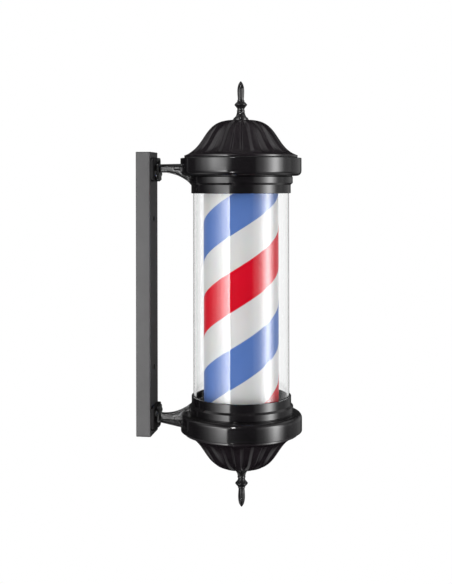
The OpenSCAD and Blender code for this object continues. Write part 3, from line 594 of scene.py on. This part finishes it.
def plainRow(form, r, height):
    columns = form["flutes"] * form["columns"]
    angles = [tau * j / columns + radians(form["turn"]) for j in range(columns)]
    return [Vector((r * cos(a), r * sin(a), height)) for a in angles]


def domeRows(form, flute):
    # up the face, then down the inside, round the spigot and back to the lip
    curve = domeCurve(form)
    heights = [(i / flute["rows"]) ** flute["rowPower"] for i in range(flute["rows"] + 1)]
    rows = [faceRow(flute, curve, t) for t in heights]
    section = [(form["studHole"], crownH), (form["studHole"], crownH - form["wall"])]
    for i in range(form["innerRows"], form["footRows"], -1):
        t = i / form["innerRows"]
        section.append(cubicPoint(curve, t) + inwardAt(curve, t) * form["wall"])
    spigotR, foot, edge = mouthR - form["spigotFit"], sealHigh.z, form["edge"]
    spigotIn = spigotR - form["spigotWall"]
    section += [(spigotIn, foot), (spigotIn, domeLow.z), (spigotR, domeLow.z), (spigotR, foot),
                (domeR - edge, foot), (domeR, foot + edge), (domeR, lipTop - edge)]
    return rows + [plainRow(flute, r, height) for r, height in section]


# The soft seals under the domes

sealForm = {"mouthGap": 0.5 * mm, "edge": 0.3 * mm}
sealLook = {
    "colour": (0.012, 0.012, 0.012), "second": (0.02, 0.02, 0.02), "roughness": 0.7, "bump": 0.2,
    "peelScale": 1500.0, "specular": 0.3,
}
sealRadii = (mouthR + sealForm["mouthGap"], (sealHigh.x - sealLow.x) / 2)
sealSection = ringOutline(sealRadii, (sealLow.z, sealHigh.z), 0, sealForm["edge"])

domeBlack = coatedMaterial("domeBlack", domeLook)
sealBlack = coatedMaterial("sealBlack", sealLook)
domeGrid = domeRows(domeForm, fluteForm)
for side, end in ends.items():
    dome = gridPiece(side + "DomeShell", onPole(domeGrid, end), domeForm["sharpAngle"], closeRows=True)
    fit(dome, "frame", "dome_black", domeBlack, side + "_dome")
    seal = turned(side + "DomeSealRing", sealSection, end)
    fit(seal, "frame", "seal_black", sealBlack, side + "_dome_seal")
print("domes fluted")


# Finials

finialForm = {
    "lobes": 6, "lobeDepth": 0.07, "lobeRise": 4 * mm, "studHole": 3.05 * mm, "grip": 13.5 * mm,
    "bellRows": 10, "spearFoot": (5.1 * mm, 33.8 * mm), "spearRows": 28, "steps": 96, "sharpAngle": 40,
}
# Each row is radius, height and corner round in millimetres; the foot's radii count from its outer edge
finialFoot = ((0, 0, 0), (0, 1.8, 0.7), (-1, 2.4, 0.3), (-0.9, 3.4, 0.4), (-2.2, 4.2, 0.5))
finialBell = ((8.4, 6), (7, 9), (6.4, 14))
finialKnop = ((7.1, 15.2, 0.8), (6, 16.6, 0.4), (6, 19, 0.8), (7.4, 21.2, 1.5), (10.9, 25.4, 0.9),
              (8.4, 28.6, 1.5), (5.7, 31, 0.5), (6.3, 32, 0.5), (5.6, 33.2, 0.4))
spearBelly, spearTip = (6, 45), (7.9, 6.5)     # the tip's pull counts from the top
finialLook = {
    "colour": (0.0045, 0.0042, 0.0046), "second": (0.007, 0.0065, 0.007), "roughness": 0.24,
    "spread": 0.06, "mottleScale": 120.0, "peelScale": 600.0, "grain": 0.15, "bump": 0.05,
    "coat": 0.9, "coatRoughness": 0.12, "specular": 0.1, "dust": 0.02,
}
finialLow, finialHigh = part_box("upper_finial")
finialH = finialHigh.z - finialLow.z
finialR = (finialHigh.x - finialLow.x) / 2


def bentRows(pulls, count, first):
    # rows along a curve, from the given one to the count's
    return [tuple(cubicPoint(pulls, i / count)) + (0,) for i in range(first, count + 1)]


def finialOutline(form):
    hole = [(0, form["grip"], 0), (form["studHole"], form["grip"], 0), (form["studHole"], 0, 0)]
    foot = [(finialR + r * mm, height * mm, edge * mm) for r, height, edge in finialFoot]
    bell = [Vector(foot[-1][:2])] + [Vector(point) * mm for point in finialBell]
    knop = [(r * mm, height * mm, edge * mm) for r, height, edge in finialKnop]
    spear = [Vector(form["spearFoot"]), Vector(spearBelly) * mm,
             Vector((spearTip[0] * mm, finialH - spearTip[1] * mm)), Vector((0, finialH))]
    bell = bentRows(bell, form["bellRows"], 1)
    spear = bentRows(spear, form["spearRows"], 0)
    return softCorners(hole + foot + bell + knop + spear, closed=False)


def spearLobes(height, angle):
    # lets grooves into the spear, and nothing into what lies under it
    form = finialForm
    above = height - finialLow.z - form["spearFoot"][1]
    if above <= 0:
        return 1
    rise = min(above / form["lobeRise"], 1)
    return 1 - form["lobeDepth"] * rise * (0.5 - 0.5 * cos(form["lobes"] * angle))


finialBlack = coatedMaterial("finialBlack", finialLook)
finialSection = [(r, height + finialLow.z) for r, height in finialOutline(finialForm)]
for side, end in ends.items():
    finial = turned(side + "FinialSpear", finialSection, end, steps=finialForm["steps"], closed=False,
                    swell=spearLobes, sharpAngle=finialForm["sharpAngle"])
    fit(finial, "frame", "finial_black", finialBlack, side + "_finial")
print("finials turned")


# Arms: the plain arm is taken as a casting, its corners rounded as a mould leaves them

armForm = {"voxel": 0.7 * mm, "softening": 0.5, "passes": 16}
armLook = {
    "colour": (0.0035, 0.0033, 0.0036), "second": (0.006, 0.0057, 0.006), "roughness": 0.33,
    "spread": 0.06, "mottleScale": 50.0, "peelScale": 300.0, "grain": 0.15, "bump": 0.03,
    "coat": 1.0, "coatRoughness": 0.27, "coatIor": 1.8, "coatLeft": 0.04, "thinFrom": -33 * mm,
    "thinTo": -32 * mm, "specular": 0.06, "dust": 0.02,
}
armBlack = coatedMaterial("armBlack", armLook)
for side in ends:
    arm = bpy.data.objects.new(side + "ArmCasting", nodes[side + "_arm"].data.copy())
    bpy.context.scene.collection.objects.link(arm)
    skin = arm.modifiers.new("castSkin", "REMESH")
    skin.mode = "VOXEL"
    skin.voxel_size = armForm["voxel"]
    skin.use_smooth_shade = True
    soften = arm.modifiers.new("mouldRounding", "SMOOTH")
    soften.factor = armForm["softening"]
    soften.iterations = armForm["passes"]
    settle(arm)
    fit(arm, "frame", "arm_black", armBlack, side + "_arm")
print("arms cast")


# Bolts that hold the arms to the rail

boltForm = {
    "headH": 4.5 * mm, "headR": 5.75 * mm, "socketR": 2.2 * mm, "socketDeep": 2.5 * mm,
    "socketSides": 6, "socketEdge": 0.5 * mm, "rimR": 2.55 * mm, "rimDrop": 0.25 * mm, "rimHex": 0.4,
    "shankR": 3 * mm, "shank": 14 * mm, "tipR": 2.4 * mm, "tip": 0.6 * mm,
    "middleR": 0.01 * mm, "steps": 48, "capRows": 12,
}
boltLook = {
    "colour": (0.006, 0.006, 0.0065), "second": (0.012, 0.012, 0.012), "roughness": 0.28,
    "spread": 0.1, "mottleScale": 200.0, "peelScale": 1500.0, "bump": 0.06,
    "coat": 0.5, "coatRoughness": 0.15,
}
armBoltLow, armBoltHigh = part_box("upper_arm_bolts")


def boltRing(spot, radius, out, hexShare):
    # a ring round the bolt's axis, drawn in to a hexagon by hexShare
    sector = tau / boltForm["socketSides"]
    row = []
    for j in range(boltForm["steps"]):
        angle = tau * j / boltForm["steps"]
        hexR = radius * cos(sector / 2) / cos((angle + sector / 2) % sector - sector / 2)
        r = radius + (hexR - radius) * hexShare
        row.append(spot + Vector((r * cos(angle), -out, r * sin(angle))))
    return row


def addBolt(shape, form, spot):
    # the head looks along -Y; the socket's six sides run into the round head
    headR, headH, rimR = form["headR"], form["headH"], form["rimR"]
    capR = (headR ** 2 + headH ** 2) / (2 * headH)
    floorH = headH - form["socketDeep"]
    rings = [(form["middleR"], floorH - form["socketEdge"], 0.0), (form["socketR"], floorH, 1.0),
             (form["socketR"], headH - form["socketEdge"], 1.0),
             (rimR, headH - form["rimDrop"], form["rimHex"])]
    for k in range(1, form["capRows"] + 1):
        r = rimR + (headR - rimR) * k / form["capRows"]
        rings.append((r, sqrt(capR ** 2 - r ** 2) - capR + headH, 0.0))
    rings += [(headR, 0.0, 0.0), (form["shankR"], 0.0, 0.0),
              (form["shankR"], form["tip"] - form["shank"], 0.0), (form["tipR"], -form["shank"], 0.0),
              (form["middleR"], -form["shank"], 0.0)]
    addSkin(shape, [boltRing(spot, *ring) for ring in rings], capEnds=True)


boltBlack = coatedMaterial("boltBlack", boltLook)
boltY = armBoltLow.y + boltForm["headH"]
boltAside = armBoltHigh.x - boltForm["headR"]
boltOuterH, boltInnerH = armBoltHigh.z - boltForm["headR"], armBoltLow.z + boltForm["headR"]
for side, end in ends.items():
    shape = bmesh.new()
    for x, z in ((0, boltOuterH), (-boltAside, boltInnerH), (boltAside, boltInnerH)):
        addBolt(shape, boltForm, Vector((x, boltY, z * end)))
    bolts = linkPiece(side + "ArmButtonBolts", shape)
    fit(bolts, "frame", "bolt_black", boltBlack, side + "_arm_bolts")
print("bolts made")


# Rail and its plugs

railForm = {
    "wall": 2 * mm, "round": 2 * mm, "leastRound": 0.5 * mm, "cornerSteps": 6,
    "accessHole": 9.5 * mm, "wallHole": 6.5 * mm, "holeGap": 250 * mm,
    "drillSides": 40, "drillIn": 4 * mm, "drillOut": 1 * mm,
    "holeEdge": 0.3 * mm, "edgeSegments": 2, "edgeAngle": 50, "sharpAngle": 35,
}
plugForm = {"edge": 0.5 * mm, "fit": 0.1 * mm, "depth": 8 * mm, "cornerSteps": 5}
railLook = {
    "colour": (0.024, 0.023, 0.024), "second": (0.031, 0.030, 0.031), "roughness": 0.38,
    "spread": 0.06, "mottleScale": 25.0, "peelScale": 900.0, "grain": 0.5, "bump": 0.12, "dust": 0.02,
    "specular": 0.57,
}
plugLook = {
    "colour": (0.016, 0.016, 0.017), "second": (0.02, 0.02, 0.021), "roughness": 0.45,
    "peelScale": 1400.0, "bump": 0.1, "dust": 0.05,
}
railLow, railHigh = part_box("wall_rail")
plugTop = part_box("rail_end_plugs")[1].z


def railSection(inset, steps):
    radius = max(railForm["round"] - inset, railForm["leastRound"])
    x, y0, y1 = railHigh.x - inset, railLow.y + inset, railHigh.y - inset
    corners = [(-x, y0, radius), (x, y0, radius), (x, y1, radius), (-x, y1, radius)]
    return softCorners(corners, steps=steps)


def railRows(sections):
    # each section is an outline and its height
    return [[Vector((x, y, z)) for x, y in outline] for outline, z in sections]


def railShape(form):
    shape = bmesh.new()
    outer, inner = (railSection(inset, form["cornerSteps"]) for inset in (0, form["wall"]))
    sections = ((outer, railLow.z), (outer, railHigh.z), (inner, railHigh.z), (inner, railLow.z))
    addSkin(shape, railRows(sections), closeRows=True)
    return shape


def railHoles(form):
    # height, radius, and where the drill enters and stops: in front for access, behind for the wall
    deep, out = form["drillIn"], form["drillOut"]
    holes = []
    for z in (-form["holeGap"] / 2, form["holeGap"] / 2):
        holes.append((z, form["accessHole"] / 2, railLow.y - out, railLow.y + deep))
        holes.append((z, form["wallHole"] / 2, railHigh.y - deep, railHigh.y + out))
    return holes


def drillRail(piece, form):
    cutter = bmesh.new()
    angles = [tau * j / form["drillSides"] for j in range(form["drillSides"])]
    for z, radius, y0, y1 in railHoles(form):
        rows = [[Vector((radius * cos(a), y, z + radius * sin(a))) for a in angles] for y in (y0, y1)]
        addSkin(cutter, rows, capEnds=True)
    drill = linkPiece("drill", cutter)
    drill.modifiers.clear()
    cut = piece.modifiers.new("cut", "BOOLEAN")
    cut.operation = "DIFFERENCE"
    cut.solver = "EXACT"
    cut.object = drill
    settle(piece)
    bpy.data.objects.remove(drill)


def breakEdges(piece, form):
    edges = piece.modifiers.new("holeEdges", "BEVEL")
    edges.width = form["holeEdge"]
    edges.segments = form["edgeSegments"]
    edges.limit_method = "ANGLE"
    edges.angle_limit = radians(form["edgeAngle"])
    settle(piece)


def addPlug(shape, form, end):
    steps = form["cornerSteps"]
    cap, full = railSection(form["edge"], steps), railSection(0, steps)
    stem = railSection(railForm["wall"] + form["fit"], steps)
    sections = ((cap, plugTop), (full, plugTop - form["edge"]), (full, railHigh.z),
                (stem, railHigh.z), (stem, railHigh.z - form["depth"]))
    addSkin(shape, railRows([(outline, z * end) for outline, z in sections]), capEnds=True)


rail = linkPiece("wallRailBar", railShape(railForm))
rail.modifiers.clear()
drillRail(rail, railForm)
breakEdges(rail, railForm)
smooth(rail, railForm["sharpAngle"])
railGrey = coatedMaterial("railGrey", railLook)
fit(rail, "frame", "rail_grey", railGrey, "wall_rail")

plugShape = bmesh.new()
for end in ends.values():
    addPlug(plugShape, plugForm, end)
plugs = linkPiece("railPlugPair", plugShape)
plugBlack = coatedMaterial("plugBlack", plugLook)
fit(plugs, "frame", "cap_black", plugBlack, "rail_end_plugs")
print("rail drilled and plugged")


# Clear tube

tubeForm = {"wall": 3 * mm, "edge": 0.6 * mm, "steps": 256}
tubeLook = {
    "colour": (0.985, 0.99, 0.99), "second": (0.995, 0.995, 0.995), "mottleScale": 8.0,
    "roughness": 0.0, "ior": 1.47,
}


def clearMaterial(name, look):
    # clear plastic, its tint drifting a little along the tube
    material, tree, shader = newMaterial(name)
    setInputs(tree, shader, {
        "Base Color": mottledSkin(tree, look)["Colour"], "Roughness": look["roughness"],
        "Transmission Weight": 1.0, "IOR": look["ior"]})
    return material


tubeClear = clearMaterial("tubeClear", tubeLook)
tubeSection = ringOutline(
    (tubeR - tubeForm["wall"], tubeR), (tubeLow.z, tubeHigh.z), tubeForm["edge"], tubeForm["edge"])
tube = turned("clearTubeWall", tubeSection, steps=tubeForm["steps"])
fit(tube, "frame", "clear_tube", tubeClear, "clear_tube")
print("clear tube drawn")


# Drum and its two stripes

drumForm = {"wall": 2 * mm, "edge": 0.3 * mm, "steps": 256}
# A stripe climbs by its lead in one turn; redStart is the height of the red one's middle towards +X
stripeForm = {
    "lead": 248.7 * mm, "height": 65.5 * mm, "redStart": -110.8 * mm, "film": 0.3 * mm,
    "lift": 0.04 * mm, "margin": 1 * mm, "tip": 0.4 * mm, "step": 2.5,
}
drumLook = {
    "colour": (0.80, 0.795, 0.785), "second": (0.84, 0.835, 0.825), "roughness": 0.32, "spread": 0.05,
    "mottleScale": 12.0, "peelScale": 250.0, "grain": 0.1, "bump": 0.03, "dust": 0.0, "subsurface": 0.15,
}
filmLook = {
    "roughness": 0.35, "spread": 0.05, "mottleScale": 18.0, "peelScale": 300.0, "grain": 0.1,
    "bump": 0.03, "dust": 0.0, "specular": 0.05,
}
redLook = {"colour": (0.80, 0.002, 0.022), "second": (0.76, 0.002, 0.018), **filmLook}
blueLook = {"colour": (0.125, 0.235, 0.60), "second": (0.108, 0.215, 0.57), **filmLook}
drumWhite = coatedMaterial("drumWhite", drumLook)
drumSection = ringOutline(
    (drumR - drumForm["wall"], drumR), (drumLow.z, drumHigh.z), 0, drumForm["edge"])
drum = turned("drumShell", drumSection, steps=drumForm["steps"])
fit(drum, "drum", "drum_white", drumWhite, "drum_tube")


def stripeRows(form, start):
    # one film wound up the drum, cut off level a little inside the drum's ends
    edge = drumHigh.z - form["margin"]
    half, lead = form["height"] / 2, form["lead"]
    first = (-edge - half - start + form["tip"]) / lead * tau
    last = (edge + half - start - form["tip"]) / lead * tau
    count = int((last - first) / radians(form["step"])) + 1
    inner = drumR + form["lift"]
    outer = inner + form["film"]
    rows = []
    for i in range(count + 1):
        angle = first + (last - first) * i / count
        middle = start + lead * angle / tau
        low, high = max(-edge, middle - half), min(edge, middle + half)
        corners = ((inner, low), (outer, low), (outer, high), (inner, high))
        rows.append([Vector((r * cos(angle), r * sin(angle) + poleY, z)) for r, z in corners])
    return rows


redStart = stripeForm["redStart"]
blueStart = redStart - stripeForm["lead"] / 2
stripes = {
    "redStripe": (redStart, redLook, "stripe_red", "red_stripe"),
    "blueStripe": (blueStart, blueLook, "stripe_blue", "blue_stripe"),
}
for name, (start, look, slotName, node) in stripes.items():
    film = gridPiece(name + "Film", stripeRows(stripeForm, start), capEnds=True)
    fit(film, "drum", slotName, coatedMaterial(name, look), node)
print("drum and stripes wound")


# Pieces that keep their plain shape get their finish here

metalLooks = {
    "brightSteel": {"colour": (0.62, 0.62, 0.61), "second": (0.55, 0.55, 0.54), "roughness": 0.26},
    "plateSteel": {
        "colour": (0.42, 0.43, 0.44), "second": (0.36, 0.37, 0.38), "roughness": 0.38, "squeeze": 1.0},
    "housingAlloy": {
        "colour": (0.50, 0.50, 0.50), "second": (0.45, 0.45, 0.44), "roughness": 0.5, "squeeze": 1.0},
    "bushBronze": {"colour": (0.58, 0.36, 0.15), "second": (0.50, 0.30, 0.12), "roughness": 0.35},
    "pinionBrass": {"colour": (0.72, 0.52, 0.22), "second": (0.64, 0.45, 0.18), "roughness": 0.3},
    "motorMetal": {"colour": (0.48, 0.49, 0.51), "second": (0.42, 0.43, 0.45), "roughness": 0.34},
    "lampMetal": {"colour": (0.66, 0.66, 0.65), "second": (0.6, 0.6, 0.59), "roughness": 0.22},
}
plasticLooks = {
    "endWhite": {"colour": (0.78, 0.775, 0.76), "second": (0.82, 0.815, 0.80), "roughness": 0.4},
    "gearWhite": {"colour": (0.76, 0.74, 0.68), "second": (0.80, 0.78, 0.72), "roughness": 0.42},
    "washerWhite": {"colour": (0.72, 0.70, 0.62), "second": (0.76, 0.74, 0.66), "roughness": 0.5},
    "lampWhite": {"colour": (0.88, 0.87, 0.83), "second": (0.9, 0.89, 0.86), "roughness": 0.3},
    "holderWhite": {"colour": (0.80, 0.80, 0.78), "second": (0.83, 0.83, 0.81), "roughness": 0.4},
    "blockCream": {"colour": (0.78, 0.74, 0.62), "second": (0.82, 0.78, 0.66), "roughness": 0.45},
    "leadRed": {"colour": (0.45, 0.03, 0.02), "second": (0.5, 0.04, 0.03), "roughness": 0.45},
    "leadWhite": {"colour": (0.8, 0.8, 0.78), "second": (0.84, 0.84, 0.82), "roughness": 0.45},
    "glandBlack": {"colour": (0.014, 0.014, 0.015), "second": (0.02, 0.02, 0.021), "roughness": 0.42},
}
plasticSkin = {"peelScale": 1200.0, "bump": 0.08}
finishes = {"sealBlack": sealBlack}
for name, look in plasticLooks.items():
    finishes[name] = coatedMaterial(name, {**look, **plasticSkin})
for name, look in metalLooks.items():
    finishes[name] = metalMaterial(name, look)
plainNodes = {
    "brightSteel": [
        "upper_saddle_screws", "lower_saddle_screws", "upper_dome_stud", "lower_dome_stud",
        "drum_gear_screws", "pivot_pin", "housing_screws", "bearing_plate_screws", "chassis_screws",
        "spindle", "spindle_screws", "motor_screws", "motor_shaft", "lamp_holder_screws",
        "terminal_screws"],
    "plateSteel": ["bearing_plate", "chassis_plate"],
    "housingAlloy": ["bearing_housing"],
    "bushBronze": ["pivot_bush"],
    "pinionBrass": ["drive_pinion"],
    "motorMetal": ["motor_case"],
    "lampMetal": ["lamp_base", "lamp_tip"],
    "lampWhite": ["lamp_tube"],
    "endWhite": ["drum_base", "drum_top_cap"],
    "gearWhite": ["drum_gear"],
    "washerWhite": ["thrust_washer"],
    "holderWhite": ["lamp_holder"],
    "blockCream": ["terminal_block"],
    "leadRed": ["motor_lead"],
    "leadWhite": ["lamp_lead"],
    "glandBlack": ["cable_gland", "gland_nut"],
    "sealBlack": ["upper_tube_gasket", "lower_tube_gasket"],
}
for finish, members in plainNodes.items():
    for member in members:
        give(nodes[member], finishes[finish])
print("finishes given to", sum(len(members) for members in plainNodes.values()), "plain nodes")


# Studio: pale floor, white surround, and soft boxes

surround = {
    "fill": 0.93,                   # what it gives to matt surfaces
    "frontDark": 0.03,              # what glossy surfaces see of it behind the camera
    "backPale": 0.36,               # and behind the pole
    "paleTurn": 55.0,               # degrees that its brightest part lies right of the middle
    "paleSpan": (0.8, 0.96),        # how squarely a ray meets that part, from dark to pale
    "levelSpan": (0.15, 0.5),       # over this steepness it darkens
    "levelLeft": 0.15,              # to this share
    "sideGlow": 0.65,               # what glossy surfaces see high and low on both sides
    "sideSpan": (0.35, 0.6),
    "steepSpan": (0.4, 0.6),
    "behindSpan": (0.1, 0.5),       # where a ray through clear pieces finds it behind the pole
}
floorForm = {
    "drop": 0.8,                    # the pole hangs this far above it
    "size": 16.0, "steps": 8,
    "colour": (0.86, 0.86, 0.86), "roughness": 0.9, "specular": 0.1,
    "whiteSpan": (0.3, 1.6),        # it turns white over this way from the pole
    "nearWhite": 0.8,
}
overhead = {"size": 1.6, "strength": 0.08, "place": (0.1, poleY, 1.9)}
even = ((0.0, 1.0), (1.0, 1.0))
boxDistance = 1.7
# Each box has its angle right of the camera as seen from the pole, the height of its middle, its width
# and height, its strength, how much of it matt surfaces take, and the shares of it from the left edge
# to the right one and from the foot to the top
boxes = {
    "leftStrip": {
        "angle": -57.5, "height": -0.45, "width": 2.0, "tall": 1.3, "strength": 9.5, "matt": 0.7,
        "across": ((0.0, 0.005), (0.2, 0.023), (0.4, 0.09), (0.6, 0.27), (0.7, 0.44), (0.8, 0.63),
                   (1.0, 1.0)),
        "along": ((0.0, 0.15), (0.35, 0.35), (0.44, 1.0), (0.94, 1.0), (0.975, 0.35), (1.0, 0.15))},
    "leftBox": {
        "angle": -56.0, "height": 0.55, "width": 2.75, "tall": 0.9, "strength": 6.3, "matt": 0.7,
        "across": ((0.0, 0.02), (0.2, 0.1), (0.4, 0.39), (0.5, 0.8), (0.56, 1.0), (0.7, 0.77),
                   (0.8, 0.49), (0.9, 0.16), (1.0, 0.01)),
        "along": ((0.0, 0.0), (0.07, 0.15), (0.14, 1.0), (0.6, 0.8), (1.0, 0.2))},
    "rightBox": {
        "angle": 66.0, "height": -0.15, "width": 2.85, "tall": 1.9, "strength": 9.9, "matt": 0.25,
        "across": ((0.0, 0.017), (0.2, 0.092), (0.3, 0.25), (0.4, 0.65), (0.45, 0.95), (0.5, 1.0),
                   (0.54, 0.85), (0.6, 0.42), (0.7, 0.09), (0.8, 0.038), (1.0, 0.02)),
        "along": ((0.0, 0.2), (0.24, 0.4), (0.3, 1.0), (1.0, 0.95))},
    "highGlint": {
        "angle": -18.0, "height": 1.3, "width": 0.15, "tall": 0.26, "strength": 150.0, "matt": 0.0,
        "across": even, "along": even},
    "lowGlint": {
        "angle": -18.0, "height": -1.02, "width": 0.12, "tall": 0.2, "strength": 110.0, "matt": 0.0,
        "across": even, "along": even},
}


def rampNode(tree, place, stops):
    ramp = addNode(tree, "ValToRGB", {0: place})
    elements = ramp.color_ramp.elements
    while len(elements) < len(stops):
        elements.new(0.5)
    for element, (at, value) in zip(elements, stops):
        element.position = at
        element.color = (value, value, value, 1)
    return ramp.outputs[0]


def hasMet(tree, depth):
    # 1 once the ray has met a surface of the kind that the depth counts
    return mathNode(tree, "GREATER_THAN", depth, 0.5)


def addLamp(name, width, tall, strength):
    # strength is the lamp's radiance
    light = bpy.data.lights.new(name, "AREA")
    light.shape = "RECTANGLE"
    light.size, light.size_y = width, tall
    light.energy = pi * width * tall * strength
    lamp = bpy.data.objects.new(name, light)
    bpy.context.scene.collection.objects.link(lamp)
    return lamp


def addSoftBox(name, box):
    # a lamp of radiance 1, which its nodes shade and bring to the box's strength
    lamp = addLamp(name, box["width"], box["tall"], 1.0)
    lamp.data.use_nodes = True
    tree = lamp.data.node_tree
    spot = addNode(tree, "NewGeometry").outputs["Parametric"]
    across = rampNode(tree, partOf(tree, spot, "X"), box["across"])
    along = rampNode(tree, partOf(tree, spot, "Y"), box["along"])
    matt = hasMet(tree, addNode(tree, "LightPath").outputs["Diffuse Depth"])
    strength = mixValues(tree, matt, box["strength"], box["strength"] * box["matt"])
    shaded = mathNode(tree, "MULTIPLY", mathNode(tree, "MULTIPLY", across, along), strength)
    setInputs(tree, tree.nodes["Emission"], {"Strength": shaded})
    back, right = cameraFrame(cameraPlace)
    angle = radians(box["angle"])
    towards = back * cos(angle) + right * sin(angle)
    aim = (-towards).to_track_quat("-Z", "Y").to_matrix().to_4x4()
    place = Vector((0, poleY, box["height"])) + towards * boxDistance
    lamp.matrix_world = Matrix.Translation(place) @ aim


def backgroundSeen(tree, direction):
    # what a ray sees of the pale background: the eye sees it white, also through clear pieces,
    # and glossy pieces see it pale behind the pole and dark behind the camera
    back, right = cameraFrame(cameraPlace)
    turn = radians(surround["paleTurn"])
    paleSide = right * sin(turn) - back * cos(turn)
    path = addNode(tree, "LightPath").outputs
    direct = mathNode(tree, "MAXIMUM", path["Is Camera Ray"], path["Is Transmission Ray"])
    matt = hasMet(tree, path["Diffuse Depth"])
    glossy = mathNode(tree, "MAXIMUM", path["Is Glossy Ray"], hasMet(tree, path["Glossy Depth"]))
    towardsPale = vectorNode(tree, "DOT_PRODUCT", direction, paleSide, "Value")
    shades = (surround["frontDark"], surround["backPale"])
    pale = mapped(tree, towardsPale, surround["paleSpan"], *shades, smooth=True)
    steepness = mathNode(tree, "ABSOLUTE", partOf(tree, direction, "Z"))
    lowered = mapped(tree, steepness, surround["levelSpan"], 1.0, surround["levelLeft"])
    aside = mathNode(tree, "ABSOLUTE", vectorNode(tree, "DOT_PRODUCT", direction, right, "Value"))
    aside = mapped(tree, aside, surround["sideSpan"])
    steep = mapped(tree, steepness, surround["steepSpan"], 0.0, surround["sideGlow"])
    pale = mathNode(tree, "MULTIPLY", pale, lowered)
    pale = mathNode(tree, "MAXIMUM", pale, mathNode(tree, "MULTIPLY", aside, steep))
    away = vectorNode(tree, "DOT_PRODUCT", direction, -back, "Value")
    behind = mapped(tree, away, surround["behindSpan"], smooth=True)
    inGlass = mathNode(tree, "MULTIPLY", behind, hasMet(tree, path["Transmission Depth"]))
    shown = mixValues(tree, glossy, 1.0, mathNode(tree, "MAXIMUM", pale, inGlass))
    unshaded = mathNode(tree, "SUBTRACT", 1.0, matt)
    seen = mathNode(tree, "MULTIPLY", mathNode(tree, "MAXIMUM", direct, glossy), unshaded)
    return seen, shown, glossy


def addSurround():
    world = bpy.data.worlds.new("whiteSurround")
    bpy.context.scene.world = world
    world.use_nodes = True
    tree = world.node_tree
    direction = addNode(tree, "TexCoord").outputs["Generated"]
    seen, shown = backgroundSeen(tree, direction)[:2]
    setInputs(tree, tree.nodes["Background"], {
        "Color": (1, 1, 1, 1), "Strength": mixValues(tree, seen, surround["fill"], shown)})


def addFloor(form):
    # matt and pale, drawn to white with distance, so that it meets the surround without an edge
    z = cadBox[0].z - form["drop"]
    places = [form["size"] * i / form["steps"] - form["size"] / 2 for i in range(form["steps"] + 1)]
    shape = bmesh.new()
    addSkin(shape, [[Vector((x, y, z)) for y in places] for x in places], closeColumns=False)
    floor = linkPiece("studioFloor", shape)
    material, tree, shader = newMaterial("floorPale")
    setInputs(tree, shader, {
        "Base Color": colour4(form["colour"]), "Roughness": form["roughness"],
        "Specular IOR Level": form["specular"]})
    spot = addNode(tree, "NewGeometry").outputs["Position"]
    fromFoot = vectorNode(tree, "SUBTRACT", spot, (0, poleY, z))
    away = vectorNode(tree, "LENGTH", fromFoot, output="Value")
    fromPole = vectorNode(tree, "SUBTRACT", spot, (0, poleY, 0))
    seen, shown, glossy = backgroundSeen(tree, vectorNode(tree, "NORMALIZE", fromPole))
    whiteness = mapped(tree, away, form["whiteSpan"], form["nearWhite"])
    share = mathNode(tree, "MULTIPLY", seen, mathNode(tree, "MAXIMUM", whiteness, glossy))
    glow = addNode(tree, "Emission", {"Strength": shown})
    mixed = addNode(tree, "MixShader", {0: share, 1: shader.outputs[0], 2: glow.outputs[0]})
    setInputs(tree, tree.nodes["Material Output"], {"Surface": mixed.outputs[0]})
    give(floor, material)


for name, box in boxes.items():
    addSoftBox(name, box)
topLamp = addLamp("overheadBox", overhead["size"], overhead["size"], overhead["strength"])
topLamp.location = overhead["place"]
addSurround()
addFloor(floorForm)
bpy.context.scene.view_settings.view_transform = "Standard"
print("studio lit")
